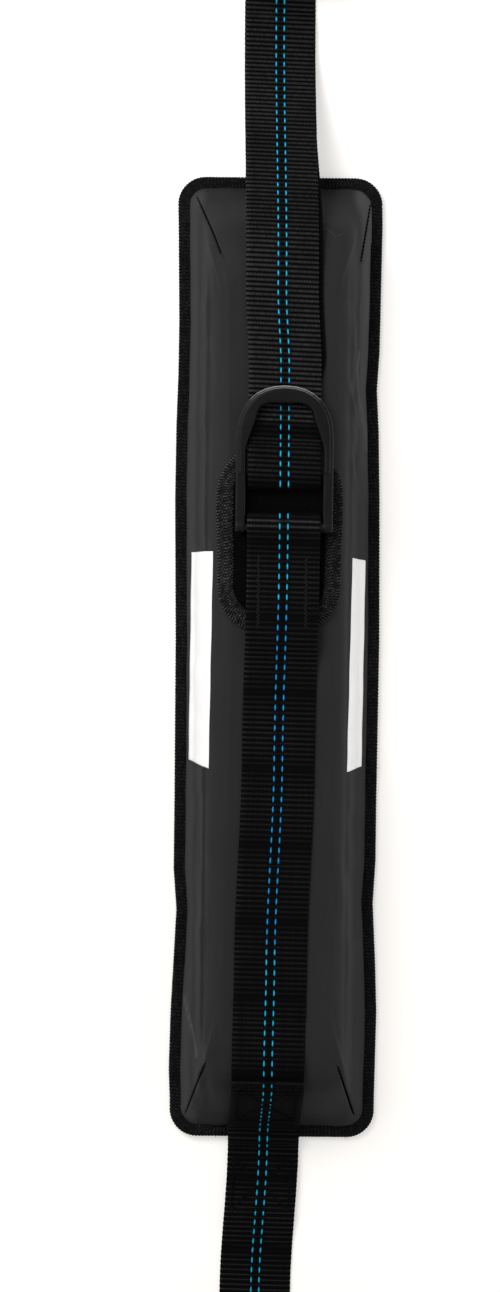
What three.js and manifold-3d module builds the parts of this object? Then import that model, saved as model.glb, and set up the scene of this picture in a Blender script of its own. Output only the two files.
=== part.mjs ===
// Soft roof rack: a foam pad that lies on a car roof, with a cast buckle and webbing straps along its top.
// The pad rests on its base, +Y runs along it towards the buckle's end and +Z is up.
// Lengths are in millimetres.
// The origin is the middle of the base panel's underside.
import * as THREE from 'three';
import { mergeVertices } from 'three/addons/utils/BufferGeometryUtils.js';
import Module from 'manifold-3d';

const wasm = await Module();
wasm.setup();

// Clearances
const seatGap = 0.3; // air between two pieces that touch
const swingGap = 0.7; // air between the webbing that moves with the buckle and the webbing that stays

// Pad
const padLength = 520;
const padWidth = 111;
const padHeight = 46;
const padCorner = 15; // radius of the pad's outline
const coverSkin = 1.2; // thickness of the coated cover
const baseThickness = 1.2;
const sideRun = 15; // how far a long wall leans in from its foot to the top face
const endRun = 42; // the same at the two sloping ends
const crown = 0.7; // rise of the top face from its edge to its middle
const topCorner = 13; // radius of the top face's corners
const dartDepth = 1.1; // how deep the sewn corner darts draw the cover in
const puckerDepth = 0.7; // how far the long walls wave in and out
const puckerPitch = 47; // length of one wave
const puckerLag = 1.3; // how far the right wall's waves run behind the left wall's, in radians
const foamEase = 2; // room between the foam and the cover

// Edge tape of the pad
const tapeWidth = 7;
const tapeThickness = 0.8;

// Webbing
const webWidth = 38;
const webThickness = 1.5;
const ribHeight = 0.25;
const ribPitch = 2.55;
const webTurn = 5; // webbing is too stiff to turn a corner in fewer half millimetres than this

// Buckle
const buckleX = 3; // the straps cross the pad a little to the right of its middle here
const hingeY = 68; // the bottom bar, which the sewn loop holds
const bottomBarRadius = 2.4;
const bossRadius = 2.9; // rounded rail ends, round the bottom bar
const buckleLength = 74.3; // bottom bar's axis to the top of the arch
const buckleWidth = 51;
const railWidth = 5.2;
const frameThickness = 5.2;
const archRelief = 2.4; // room cut into the arch's underside, for the webbing that passes below it
const plateStep = 1; // rise of the stepped plate on the arch
const plateMargin = 1.7; // width of the step round the outside of the arch
const archRise = 27; // height of the arch's curve
const archBand = 9.5; // width of the arch at its top
const centreBarY = 101; // middle of the bar that the strap goes over
const centreBarWidth = 12;
const centreBarThickness = 3.2;
const centreBarFlare = 1.5; // fillet where the bar runs into the rails
const centreBarBevel = 1;
const windowFlat = 6; // half of the flat top of the arch's window
const windowWaist = 14.3; // half width of the window at its shoulders
const shoulderDrop = 5; // from the window's top down to its shoulders
const shoulderRound = 1.8; // how far the window's top corners lean inwards
const legLean = 2; // how far the window's sides lean outwards just below its shoulders
const legDrop = 9; // length of that lean
const railRun = 6; // straight inside of the rails past the centre bar
const edgeBevel = 0.7;
const roundSides = 20; // flats round the bottom bar and its bosses

// Protector flap under the buckle
const flapX = 0.7;
const flapY = 62.5;
const flapLength = 101;
const flapWidth = 66;
const flapCorner = 27;
const flapThickness = 1.8;
const flapTapeWidth = 9;
const flapTapeThickness = 0.6;

// Stitches
const threadRadius = 0.35;
const bartackStart = 15; // where the loop's two rows of stitches end, measured along the pad
const bartackLength = 38;
const bartackInset = 6.5; // from the strap's edge
const zigzagPitch = 2;
const zigzagWidth = 1.8;
const boxMargin = 3; // from the strap's edges to the crossed box stitches
const boxPadIn = 34; // from the pad's end in to the top of the upper box stitch
const boxPadRun = 22;
const boxStrapOut = 11; // from the pad's end out to the top of the outer box stitch
const boxStrapRun = 29;

// Where the straps end and turn
const looseTurn = 3.5; // how far the slack webbing hangs past the centre bar
const loopTailEnd = 12; // cut end of the loop's lower layer
const spliceIn = 37; // from the pad's end in to the folded end of the lower strap, on the slope
const spliceOut = 41; // from the pad's end out to the cut end of the buckle strap, under the lower strap
const tailOut = 78; // from the pad's end out to the cut end of the long strap's tail
const bendRoom = 70; // from the pad's end in to where the straps' lines over it start, on the top face
const rollRadius = 30;
const rollHole = 7;
const rollOut = 132; // from the pad's end out to each roll's axis
const rollSteps = 16; // flats round one turn of a roll

// Sizes that follow from the ones above
const halfLength = padLength / 2;
const halfWidth = padWidth / 2;
const layer = webThickness + ribHeight + seatGap; // from one layer of webbing to the next
const rimStart = tapeThickness + seatGap; // inside of the edge tape's fold
const hemBottom = rimStart + baseThickness + seatGap;
const hemTop = hemBottom + coverSkin;
const tapeHeight = hemTop + seatGap + tapeThickness;
const wallFoot = tapeWidth + seatGap + 0.1;
const wallTop = padHeight - crown;
const flapTapeBottom = padHeight + seatGap;
const flapTapeTop = flapTapeBottom + flapThickness + 2 * (flapTapeThickness + seatGap);
const lowRun = flapTapeTop + seatGap + webThickness / 2; // centre of webbing that lies on the flap
const padRun = padHeight + seatGap + webThickness / 2; // centre of webbing that lies on the cover
const hingeZ = lowRun + webThickness / 2 + seatGap + bottomBarRadius;
const loopRadius = bottomBarRadius + seatGap + webThickness / 2;
const frameBottom = hingeZ - bossRadius;
const centreBarBottom = lowRun + webThickness / 2 + seatGap;
const turnRadius = centreBarThickness / 2 + seatGap + webThickness / 2;
const turnZ = centreBarBottom + centreBarThickness / 2;
const archTop = hingeY + buckleLength;
const splitY = archTop - archBand / 2; // the webbing is parted here, hidden under the arch
const floorRun = webThickness / 2;
const topEnd = halfLength - wallFoot - endRun; // end of the pad's top face
const spliceTop = spliceIn - halfLength;
const spliceEnd = -halfLength - spliceOut;
const tailEnd = halfLength + tailOut;
const rollStart = halfLength + rollOut;

// Materials
function paint(color, roughness, metalness = 0) {
  return new THREE.MeshStandardMaterial({ color, roughness, metalness });
}

const materials = {
  cover: paint('#2c2c2f', 0.55),
  grip: paint('#1c1c1e', 0.9),
  foam: paint('#8d8f92', 0.95),
  tape: paint('#0d0d0e', 0.85),
  webbing: paint('#101011', 0.8),
  metal: paint('#1c1c1d', 0.35, 0.6),
  neoprene: paint('#0b0b0c', 0.8),
  thread: paint('#161617', 0.7),
};

// General shapes

// Closed mesh from its corners and triangles.
function meshGeometry(points, triangles) {
  const geometry = new THREE.BufferGeometry();
  geometry.setAttribute('position', new THREE.Float32BufferAttribute(points.flat(), 3));
  geometry.setIndex(triangles.flat());
  geometry.computeVertexNormals();
  return geometry;
}

const plainSteps = { corner: 6, short: 1, long: 1 };

// Rounded rectangle as a ring of points, seen anticlockwise from above. bend may move each point.
function roundedRing({ halfX, halfY, radius, z, x = 0, y = 0, steps = plainSteps }, bend) {
  const ring = [];
  const signs = [[1, 1], [-1, 1], [-1, -1], [1, -1]];
  const arcPoint = (k, t) => {
    const angle = ((k + t) * Math.PI) / 2;
    const [sx, sy] = signs[k % 4];
    return [
      sx * (halfX - radius) + radius * Math.cos(angle),
      sy * (halfY - radius) + radius * Math.sin(angle),
    ];
  };
  for (let k = 0; k < 4; k += 1) {
    for (let i = 0; i <= steps.corner; i += 1) {
      ring.push([...arcPoint(k, i / steps.corner), i === steps.corner / 2]);
    }
    const from = arcPoint(k, 1);
    const to = arcPoint((k + 1) % 4, 0);
    const count = k % 2 === 0 ? steps.short : steps.long;
    for (let i = 1; i < count; i += 1) {
      const t = i / count;
      ring.push([from[0] + (to[0] - from[0]) * t, from[1] + (to[1] - from[1]) * t, false]);
    }
  }
  return ring.map(([px, py, isDart]) => {
    const [bx, by] = bend ? bend(px, py, isDart) : [px, py];
    return [bx + x, by + y, z];
  });
}

// Skin over a list of rings. An open loft is closed by a flat cap at each end, and a joined one meets itself.
function loft(rings, joined = false) {
  const count = rings[0].length;
  const triangles = [];
  const bands = joined ? rings.length : rings.length - 1;
  for (let k = 0; k < bands; k += 1) {
    const a = k * count;
    const b = ((k + 1) % rings.length) * count;
    for (let i = 0; i < count; i += 1) {
      const j = (i + 1) % count;
      triangles.push([a + i, a + j, b + j], [a + i, b + j, b + i]);
    }
  }
  if (!joined) {
    const flat = (ring) => ring.map(([x, y]) => new THREE.Vector2(x, y));
    const cap = (ring) => THREE.ShapeUtils.triangulateShape(flat(ring), []);
    const last = (rings.length - 1) * count;
    cap(rings[0]).forEach(([a, b, c]) => triangles.push([a, c, b]));
    cap(rings[rings.length - 1]).forEach(([a, b, c]) => triangles.push([last + a, last + b, last + c]));
  }
  return meshGeometry(rings.flat(), triangles);
}

// Tape folded over an edge: a C-shaped section swept round the outline. inset(d, z) is the ring d inside it.
function foldedTape(inset, { width, thickness, bottom, top, fold }) {
  const soft = thickness;
  const section = [
    [width, bottom], [soft, bottom], [0, bottom + soft],
    [0, top - soft], [soft, top], [width, top],
    [width, top - thickness], [fold, top - thickness],
    [fold, bottom + thickness], [width, bottom + thickness],
  ];
  return loft(section.map(([d, z]) => inset(d, z)), true);
}

// Solid for joining and cutting.
function toSolid(geometry) {
  const bare = geometry.clone();
  bare.deleteAttribute('normal');
  bare.deleteAttribute('uv');
  const merged = mergeVertices(bare, 1e-4);
  const corners = merged.index.array;
  const triangles = [];
  for (let i = 0; i < corners.length; i += 3) {
    const [a, b, c] = corners.slice(i, i + 3);
    if (a !== b && b !== c && c !== a) triangles.push(a, b, c);
  }
  return new wasm.Manifold(new wasm.Mesh({
    numProp: 3,
    vertProperties: new Float32Array(merged.attributes.position.array),
    triVerts: new Uint32Array(triangles),
  }));
}

function fromSolid(solid) {
  const { vertProperties, triVerts } = solid.getMesh();
  const geometry = new THREE.BufferGeometry();
  geometry.setAttribute('position', new THREE.BufferAttribute(vertProperties, 3));
  geometry.setIndex(new THREE.BufferAttribute(triVerts, 1));
  geometry.computeVertexNormals();
  return geometry;
}

const unite = (geometries) => fromSolid(geometries.map(toSolid).reduce((a, b) => a.add(b)));

// Pad

const coverSteps = { corner: 4, short: 2, long: 32 };

// Ring of the pad's outline, drawn in by insetX and insetY.
function padRing(insetX, insetY, z, radius, steps = plainSteps, bend = undefined) {
  return roundedRing({ halfX: halfWidth - insetX, halfY: halfLength - insetY, radius, z, steps }, bend);
}

// The wall's side view from its foot (0, 0) to the top face's edge (1, 1): it leans in, then rounds over.
function wallProfile() {
  const shoulder = [0.5, 0.78];
  const lean = 3;
  const round = 4;
  const points = [];
  for (let i = 0; i < lean; i += 1) points.push([(shoulder[0] * i) / lean, (shoulder[1] * i) / lean]);
  const curve = new THREE.QuadraticBezierCurve(
    new THREE.Vector2(...shoulder),
    new THREE.Vector2(shoulder[0] / shoulder[1], 1),
    new THREE.Vector2(1, 1),
  );
  return points.concat(curve.getPoints(round).map((p) => [p.x, p.y]));
}

// Each wall's wave is the sum of two: their shares, how fast each runs, and where it starts.
const puckerWaves = [[0.6, 1, 0], [0.4, 1.7, 0.9]];

// Where the cover is drawn in by its darts and waved by its seams, u of the way up the wall.
function coverBend(u) {
  const swell = Math.sin(Math.PI * Math.min(u, 1));
  const dartSwell = Math.sin(Math.PI * Math.min(0.25 + 0.6 * u, 1)); // a dart is drawn in at its foot too
  return (x, y, isDart) => {
    if (isDart) {
      const pull = 1 - (dartDepth * dartSwell) / Math.hypot(x, halfWidth);
      return [x * pull, y - Math.sign(y) * dartDepth * swell];
    }
    const straight = halfLength - endRun - 2 * padCorner;
    const fade = THREE.MathUtils.smoothstep(straight - Math.abs(y), 0, puckerPitch / 2);
    const turn = (2 * Math.PI * y) / puckerPitch + (x > 0 ? puckerLag : 0);
    const waves = puckerWaves.map(([share, rate, start]) => share * Math.sin(turn * rate + start));
    const wave = waves[0] + waves[1];
    return [x - Math.sign(x) * puckerDepth * wave * swell * fade, y];
  };
}

// Rings of the cover's outer face, from the wall's foot to the top. within moves them in and down.
function coverRings(within = 0, steps = coverSteps) {
  const footRadius = padCorner - wallFoot;
  const rings = wallProfile().map(([u, v]) => padRing(
    wallFoot + u * sideRun + within,
    wallFoot + u * endRun + within,
    THREE.MathUtils.lerp(hemTop, wallTop, v) - within,
    THREE.MathUtils.lerp(footRadius, topCorner, u),
    steps,
    steps === coverSteps ? coverBend(u) : undefined,
  ));
  const face = halfWidth - wallFoot - sideRun;
  const rises = [[0.34, 0.7], [0.75, 1]]; // share of the way to the middle, and share of the crown
  rises.forEach(([t, rise]) => {
    const inset = t * face + within;
    const height = wallTop + rise * crown - within;
    const radius = topCorner * (1 - t);
    rings.push(padRing(wallFoot + sideRun + inset, wallFoot + endRun + inset, height, radius, steps));
  });
  return rings;
}

function padCover() {
  const edge = rimStart + tapeThickness;
  const hemRadius = padCorner - edge;
  const footRadius = padCorner - wallFoot;
  const inside = coverRings(coverSkin).reverse();
  const hem = [
    padRing(edge, edge, hemBottom, hemRadius, coverSteps),
    padRing(edge, edge, hemTop, hemRadius, coverSteps),
  ];
  const foot = wallFoot + coverSkin;
  const innerFoot = padRing(foot, foot, hemBottom, footRadius - coverSkin / 2, coverSteps);
  return loft([...inside.slice(0, -1), innerFoot, ...hem, ...coverRings()]);
}

function foamCore() {
  const ease = coverSkin + foamEase;
  const rings = coverRings(ease, plainSteps);
  const bottom = hemBottom + seatGap;
  const footInset = wallFoot + ease + coverSkin;
  const foot = padRing(footInset, footInset, bottom, padCorner - wallFoot);
  return loft([foot, ...rings.slice(1)]);
}

function basePanel() {
  const middle = tapeWidth + seatGap;
  const edge = rimStart + tapeThickness;
  const ring = (inset, z) => padRing(inset, inset, z, padCorner - inset);
  const top = rimStart + baseThickness;
  return loft([ring(middle, 0), ring(middle, rimStart), ring(edge, rimStart), ring(edge, top)]);
}

function bindingTape() {
  const inset = (d, z) => padRing(d, d, z, padCorner - d);
  return foldedTape(inset, {
    width: tapeWidth,
    thickness: tapeThickness,
    bottom: 0,
    top: tapeHeight,
    fold: tapeThickness + seatGap,
  });
}

// Webbing

// How far the straps stray sideways from the pad's middle line: places along the pad, and the shift at each.
const strapStray = [
  [-345, -8.2], [-262, -4.4], [-223, -2.6], [-160, -1.8], [-54, 1.3],
  [55, 2.9], [150, 2.9], [195, 1], [345, -1],
];

function stray(y, knots = strapStray) {
  if (y <= knots[0][0]) return knots[0][1];
  for (let i = 1; i < knots.length; i += 1) {
    const [y0, x0] = knots[i - 1];
    const [y1, x1] = knots[i];
    if (y <= y1) return THREE.MathUtils.lerp(x0, x1, THREE.MathUtils.smoothstep(y, y0, y1));
  }
  return knots[knots.length - 1][1];
}

// The tail lies a little to the right of the leg above it, where the photo shows its edge.
const tailStray = [[140, 0], [160, 2.4], [225, 2.4], [285, 0]];
const strayTail = (y) => stray(y) + stray(y, tailStray);

const hiddenStep = 5; // between points of webbing that lies out of sight

// Points a given step apart along a line of corners that is drawn as a smooth curve.
function smoothLine(corners, step = ribPitch / 2) {
  const curve = new THREE.SplineCurve(corners.map(([y, z]) => new THREE.Vector2(y, z)));
  const points = curve.getSpacedPoints(Math.round(curve.getLength() / step));
  return points.map((p) => [p.x, Math.max(p.y, floorRun)]);
}

// Unit normals of a line in the side view, on its left as it runs.
function lineNormals(line) {
  return line.map((point, i) => {
    const before = line[Math.max(i - 1, 0)];
    const after = line[Math.min(i + 1, line.length - 1)];
    const along = new THREE.Vector2(after[0] - before[0], after[1] - before[1]).normalize();
    return [-along.y, along.x];
  });
}

const shiftLine = (line, distance) => {
  const normals = lineNormals(line);
  return line.map(([y, z], i) => [y + normals[i][0] * distance, z + normals[i][1] * distance]);
};

const ribFacing = 0.15; // ribs are cut where the face looks up by more than this share
const plainEvery = 8; // on the face without ribs one point in so many is kept
const bendCosine = 0.9995; // and every point where the line turns by more than this

// Webbing whose side view follows a line. The ribs are on the side given by ribSide, where that side faces up.
function webbing(line, { ribSide = 1, strayAt = stray, ribsWhile = () => true } = {}) {
  const normals = lineNormals(line);
  const half = webThickness / 2;
  const ribbed = line.map(([y, z], i) => {
    const [ny, nz] = normals[i];
    const isRib = i % 2 === 1 && i < line.length - 1 && nz * ribSide > ribFacing && ribsWhile(y, z);
    const out = (half + (isRib ? ribHeight : 0)) * ribSide;
    return [y + ny * out, z + nz * out];
  });
  const plain = shiftLine(line, -half * ribSide).filter((point, i, all) => {
    if (i === 0 || i === all.length - 1 || i % plainEvery === 0) return true;
    const [a, b] = [normals[i - 1], normals[i + 1]];
    return a[0] * b[0] + a[1] * b[1] < bendCosine;
  });
  const sideView = new THREE.Shape(ribbed.concat(plain.reverse()).map(([y, z]) => new THREE.Vector2(y, z)));
  const geometry = new THREE.ExtrudeGeometry(sideView, { depth: webWidth, bevelEnabled: false });
  geometry.translate(0, 0, -webWidth / 2);
  geometry.applyMatrix4(new THREE.Matrix4().makeBasis(
    new THREE.Vector3(0, 1, 0),
    new THREE.Vector3(0, 0, 1),
    new THREE.Vector3(1, 0, 0),
  ));
  const position = geometry.attributes.position;
  for (let i = 0; i < position.count; i += 1) {
    position.setX(i, position.getX(i) + strayAt(position.getY(i)));
  }
  geometry.computeVertexNormals();
  return geometry;
}

// Webbing rolled up like a wheel that stands on the floor: it runs in under the roll and winds inwards.
function rollTurns(side) {
  const turns = (rollRadius - floorRun - rollHole) / layer;
  const count = Math.round(turns * rollSteps);
  const line = [];
  for (let i = 0; i <= count; i += 1) {
    const angle = (2 * Math.PI * i) / rollSteps;
    const radius = rollRadius - floorRun - (layer * i) / rollSteps;
    line.push([side * (rollStart + radius * Math.sin(angle)), rollRadius - radius * Math.cos(angle)]);
  }
  return line;
}

// Height of the pad's outer surface on its middle line: cover, edge tape and the floor beyond it.
const ringEnd = (ring) => [Math.max(...ring.map(([, y]) => y)), ring[0][2]];
const justPast = 0.01; // the surface drops to the floor within this
const endProfile = [
  ...coverRings(0, plainSteps).map(ringEnd).reverse(),
  [halfLength - tapeWidth, tapeHeight],
  [halfLength - tapeThickness, tapeHeight],
  [halfLength, tapeHeight - tapeThickness],
  [halfLength + justPast, 0],
];

function padSurface(y) {
  const reach = Math.abs(y);
  if (reach <= endProfile[0][0]) return padHeight;
  for (let i = 1; i < endProfile.length; i += 1) {
    const [y0, z0] = endProfile[i - 1];
    const [y1, z1] = endProfile[i];
    if (reach <= y1) return z0 + ((z1 - z0) * (reach - y0)) / (y1 - y0);
  }
  return 0;
}

// Centre height of webbing pressed over the pad's end, a given distance clear of everything under it.
function pressedHeight(y, clear) {
  let height = clear;
  const tries = 24;
  for (let i = -tries; i <= tries; i += 1) {
    const reach = (clear * i) / tries;
    height = Math.max(height, padSurface(y + reach) + Math.sqrt(clear * clear - reach * reach));
  }
  return height;
}

// Line of webbing over the pad's lower end, one or more layers up, at even steps along its own length.
function lowerEndLine(from, to, clear) {
  const heights = [];
  const step = 0.5;
  for (let y = from; y >= to; y -= step) heights.push([y, pressedHeight(y, clear)]);
  const eased = heights.map(([y, z], i) => {
    const near = heights.slice(Math.max(i - webTurn, 0), i + webTurn + 1);
    return [y, Math.max(z, near.reduce((sum, [, h]) => sum + h, 0) / near.length)];
  });
  const path = new THREE.CurvePath();
  for (let i = 1; i < eased.length; i += 1) {
    path.add(new THREE.LineCurve(new THREE.Vector2(...eased[i - 1]), new THREE.Vector2(...eased[i])));
  }
  return path.getSpacedPoints(Math.round(path.getLength() / (ribPitch / 2))).map((p) => [p.x, p.y]);
}

// Half turn of webbing, seen from the side, between two angles in degrees.
function arcLine(centreY, centreZ, radius, from, to, steps = 12) {
  return Array.from({ length: steps + 1 }, (_, i) => {
    const angle = THREE.MathUtils.degToRad(from + ((to - from) * i) / steps);
    return [centreY + radius * Math.cos(angle), centreZ + radius * Math.sin(angle)];
  });
}

// The short strap: its lower layer, the loop round the bottom bar, the upper layer and the run down the pad.
// Where the upper layer comes down from the bar and off the loop's end, its places are chosen by hand.
const sewnRun = lowRun + layer; // the loop's upper layer where it is sewn to the lower one
const buckleStrapLine = [
  [loopTailEnd, lowRun],
  [(loopTailEnd + hingeY) / 2, lowRun],
  ...arcLine(hingeY, hingeZ, loopRadius, -90, 90),
  ...smoothLine([
    [hingeY, hingeZ + loopRadius],
    [hingeY - 4, hingeZ + loopRadius - 0.9],
    [hingeY - 11, sewnRun + 1.2],
    [hingeY - 16, sewnRun],
    [hingeY - 24, sewnRun],
    [bartackStart + 5, sewnRun],
    [loopTailEnd - 2, sewnRun - 0.3],
    [loopTailEnd - 13, padRun + 1.6],
    [loopTailEnd - 24, padRun],
    [loopTailEnd - 40, padRun],
    [(bendRoom - halfLength) / 2, padRun],
    [bendRoom - halfLength, padRun],
  ]).slice(1),
  ...lowerEndLine(bendRoom - halfLength, spliceEnd, padRun - padHeight).slice(1),
];

// The lower strap starts on the pad's sloping end, crosses the tape and the floor, and ends in its roll.
const lowerClear = padRun - padHeight + layer;
const lowerStrapLine = [
  ...lowerEndLine(spliceTop, spliceEnd - 1, lowerClear),
  ...smoothLine([
    [spliceEnd - 3, floorRun + layer],
    [spliceEnd - 6, floorRun + layer - 0.6],
    [spliceEnd - 12, floorRun + 0.5],
    [spliceEnd - 18, floorRun],
    [spliceEnd - 26, floorRun],
    [-rollStart, floorRun],
  ]),
  ...rollTurns(-1).slice(1),
];

// The long strap beyond the pad: its tail comes down to the floor and its upper leg lies on the tail.
// Each place of the fall is a distance beyond the top face's end and a share of the height.
const slackFall = [
  [-5.6, 1], [5.4, 0.9892], [17.4, 0.9093], [39.4, 0.6965],
  [69.4, 0.405], [94.4, 0.1695], [110.4, 0.0464], [120.4, 0.0022],
];
const slackCorners = [
  [splitY + swingGap, padRun],
  [(splitY + topEnd) / 2, padRun],
  ...slackFall.map(([out, share]) => [topEnd + out, floorRun + share * (padRun - floorRun)]),
  [tailEnd, floorRun],
];
const longStrapLine = [
  ...shiftLine(smoothLine(slackCorners), layer),
  ...smoothLine([
    [tailEnd + 3, floorRun + layer],
    [tailEnd + 9, floorRun + 0.7],
    [tailEnd + 15, floorRun],
    [rollStart, floorRun],
  ]),
  ...rollTurns(1).slice(1),
];

// The part of the long strap that moves with the buckle: under the arch, over the bar and back below it.
const barFront = centreBarY - centreBarWidth / 2;
const barBack = centreBarY + centreBarWidth / 2;
const archUnder = frameBottom + archRelief - seatGap - ribHeight - webThickness / 2;
const turnLine = [
  ...smoothLine([
    [splitY, padRun + layer],
    [splitY - 4, padRun + layer + 0.2],
    [splitY - 10, archUnder - 1.6],
    [splitY - 17, archUnder - 0.5],
    [barBack + 6.5, archUnder],
    [barBack + 4, archUnder + 1.2],
    [barBack + 1, turnZ + turnRadius - 0.4],
    [barBack - 2, turnZ + turnRadius],
    [barFront - looseTurn, turnZ + turnRadius],
  ]),
  ...arcLine(barFront - looseTurn, turnZ, turnRadius, 90, 270).slice(1),
  ...smoothLine([
    [barFront - looseTurn, lowRun],
    [barBack, lowRun],
    [flapY + flapLength / 2 + 0.5, lowRun],
    [flapY + flapLength / 2 + 5, lowRun - 1.2],
    [splitY - 7, padRun + 0.5],
    [splitY - 2, padRun],
    [splitY, padRun],
  ]).slice(1),
];

// Buckle

// Outline of the arch and its rails, drawn in by outer and inner margins, from footY up.
function archShape(outer, inner, footY) {
  const half = buckleWidth / 2 - outer;
  const clear = buckleWidth / 2 - railWidth + inner;
  const top = archTop - outer;
  const spring = archTop - archRise;
  const pull = 0.62; // squarer than a circle
  const windowTop = archTop - archBand + inner;
  const waistY = windowTop - shoulderDrop;
  const waist = windowWaist + inner;
  const shape = new THREE.Shape();
  shape.moveTo(clear, footY);
  shape.lineTo(half, footY);
  shape.lineTo(half, spring);
  shape.bezierCurveTo(half, spring + pull * (top - spring), pull * half, top, 0, top);
  shape.bezierCurveTo(-pull * half, top, -half, spring + pull * (top - spring), -half, spring);
  shape.lineTo(-half, footY);
  shape.lineTo(-clear, footY);
  shape.lineTo(-clear, barBack);
  shape.bezierCurveTo(-clear, barBack + railRun, -waist - legLean, waistY - legDrop, -waist, waistY);
  shape.quadraticCurveTo(-waist + shoulderRound, windowTop, -windowFlat, windowTop);
  shape.lineTo(windowFlat, windowTop);
  shape.quadraticCurveTo(waist - shoulderRound, windowTop, waist, waistY);
  shape.bezierCurveTo(waist + legLean, waistY - legDrop, clear, barBack + railRun, clear, barBack);
  return shape;
}

// Flat bar with its edges rounded, from z upwards.
function bevelled(shape, z, thickness, bevel, segments = 2) {
  const geometry = new THREE.ExtrudeGeometry(shape, {
    depth: thickness - 2 * bevel,
    bevelSize: bevel,
    bevelThickness: bevel,
    bevelOffset: -bevel,
    bevelSegments: segments,
    curveSegments: 8,
  });
  return geometry.translate(0, 0, z + bevel);
}

// Round bar along X with a small chamfer at each end.
function roundBar(radius, length, chamfer) {
  const end = length / 2;
  const profile = [
    [0, -end], [radius - chamfer, -end], [radius, chamfer - end],
    [radius, end - chamfer], [radius - chamfer, end], [0, end],
  ];
  const bar = new THREE.LatheGeometry(profile.map(([r, h]) => new THREE.Vector2(r, h)), roundSides);
  return bar.rotateZ(-Math.PI / 2);
}

// Centre bar seen from above, flared where it runs into the rails.
function centreBarShape() {
  const reach = buckleWidth / 2 - railWidth;
  const root = railWidth / 2; // how far the bar's ends run into the rails
  const flare = centreBarFlare;
  const shape = new THREE.Shape();
  shape.moveTo(-reach - root, barFront - flare);
  shape.lineTo(-reach, barFront - flare);
  shape.quadraticCurveTo(-reach, barFront, -reach + flare, barFront);
  shape.lineTo(reach - flare, barFront);
  shape.quadraticCurveTo(reach, barFront, reach, barFront - flare);
  shape.lineTo(reach + root, barFront - flare);
  shape.lineTo(reach + root, barBack + flare);
  shape.lineTo(reach, barBack + flare);
  shape.quadraticCurveTo(reach, barBack, reach - flare, barBack);
  shape.lineTo(-reach + flare, barBack);
  shape.quadraticCurveTo(-reach, barBack, -reach, barBack + flare);
  shape.lineTo(-reach - root, barBack + flare);
  return shape;
}

function buckle() {
  const plateSink = 1.5; // how deep the stepped plate is rooted in the frame
  const plateInner = 0.4; // how far the plate stays back from the window's edge
  const barRoot = railWidth / 2 - 1; // how far the bottom bar runs into the bosses
  const frame = bevelled(archShape(0, 0, hingeY), frameBottom, frameThickness, edgeBevel);
  const plate = bevelled(
    archShape(plateMargin, plateInner, barFront + 1),
    frameBottom + frameThickness - plateSink,
    plateStep + plateSink,
    edgeBevel,
  );
  const inner = buckleWidth / 2 - railWidth;
  const centreBar = bevelled(centreBarShape(), centreBarBottom, centreBarThickness, centreBarBevel);
  const bottomBar = roundBar(bottomBarRadius, 2 * (inner + barRoot), 0).translate(0, hingeY, hingeZ);
  const bosses = [-1, 1].map((side) => roundBar(bossRadius, railWidth, edgeBevel)
    .translate((side * (buckleWidth - railWidth)) / 2, hingeY, hingeZ));
  const relief = new THREE.BoxGeometry(2 * inner, buckleLength, 2 * archRelief);
  relief.translate(0, barBack + buckleLength / 2, frameBottom);
  const arch = toSolid(frame).add(toSolid(plate)).subtract(toSolid(relief));
  return fromSolid([centreBar, bottomBar, ...bosses].map(toSolid).reduce((a, b) => a.add(b), arch));
}

// Protector flap

const flapSteps = { corner: 8, short: 1, long: 1 };

function flapRing(inset, z) {
  return roundedRing({
    halfX: flapWidth / 2 - inset,
    halfY: flapLength / 2 - inset,
    radius: flapCorner - inset,
    z,
    x: flapX,
    y: flapY,
    steps: flapSteps,
  });
}

function buckleFlap() {
  const edge = flapTapeThickness + 2 * seatGap;
  const bottom = flapTapeBottom + flapTapeThickness + seatGap;
  return loft([flapRing(edge, bottom), flapRing(edge, bottom + flapThickness)]);
}

function flapBinding() {
  return foldedTape(flapRing, {
    width: flapTapeWidth,
    thickness: flapTapeThickness,
    bottom: flapTapeBottom,
    top: flapTapeTop,
    fold: flapTapeThickness + seatGap,
  });
}

// Stitches

// Row of zigzag stitches on flat webbing, as one bent thread.
function bartack(x) {
  const turns = Math.round(bartackLength / zigzagPitch) * 2;
  const edge = (offset) => Array.from({ length: turns + 1 }, (_, i) => new THREE.Vector2(
    x + (i % 2 === 0 ? -1 : 1) * (zigzagWidth / 2) + offset,
    bartackStart + (bartackLength * i) / turns,
  ));
  const shape = new THREE.Shape([...edge(threadRadius), ...edge(-threadRadius).reverse()]);
  const thread = new THREE.ExtrudeGeometry(shape, { depth: 2 * threadRadius, bevelEnabled: false });
  return thread.translate(0, 0, sewnRun + webThickness / 2 + ribHeight + seatGap);
}

// Place on the top face of a strap at y: lift above its centre line.
function onStrap(line, y, lift) {
  const normals = lineNormals(line);
  const i = line.findIndex((point, k) => k > 0 && (line[k - 1][0] - y) * (point[0] - y) <= 0);
  const t = (y - line[i - 1][0]) / (line[i][0] - line[i - 1][0]);
  const mix = (a, b) => a + (b - a) * t;
  const [ny, nz] = [mix(normals[i - 1][0], normals[i][0]), mix(normals[i - 1][1], normals[i][1])];
  return [y + ny * lift, mix(line[i - 1][1], line[i][1]) + nz * lift];
}

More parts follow.
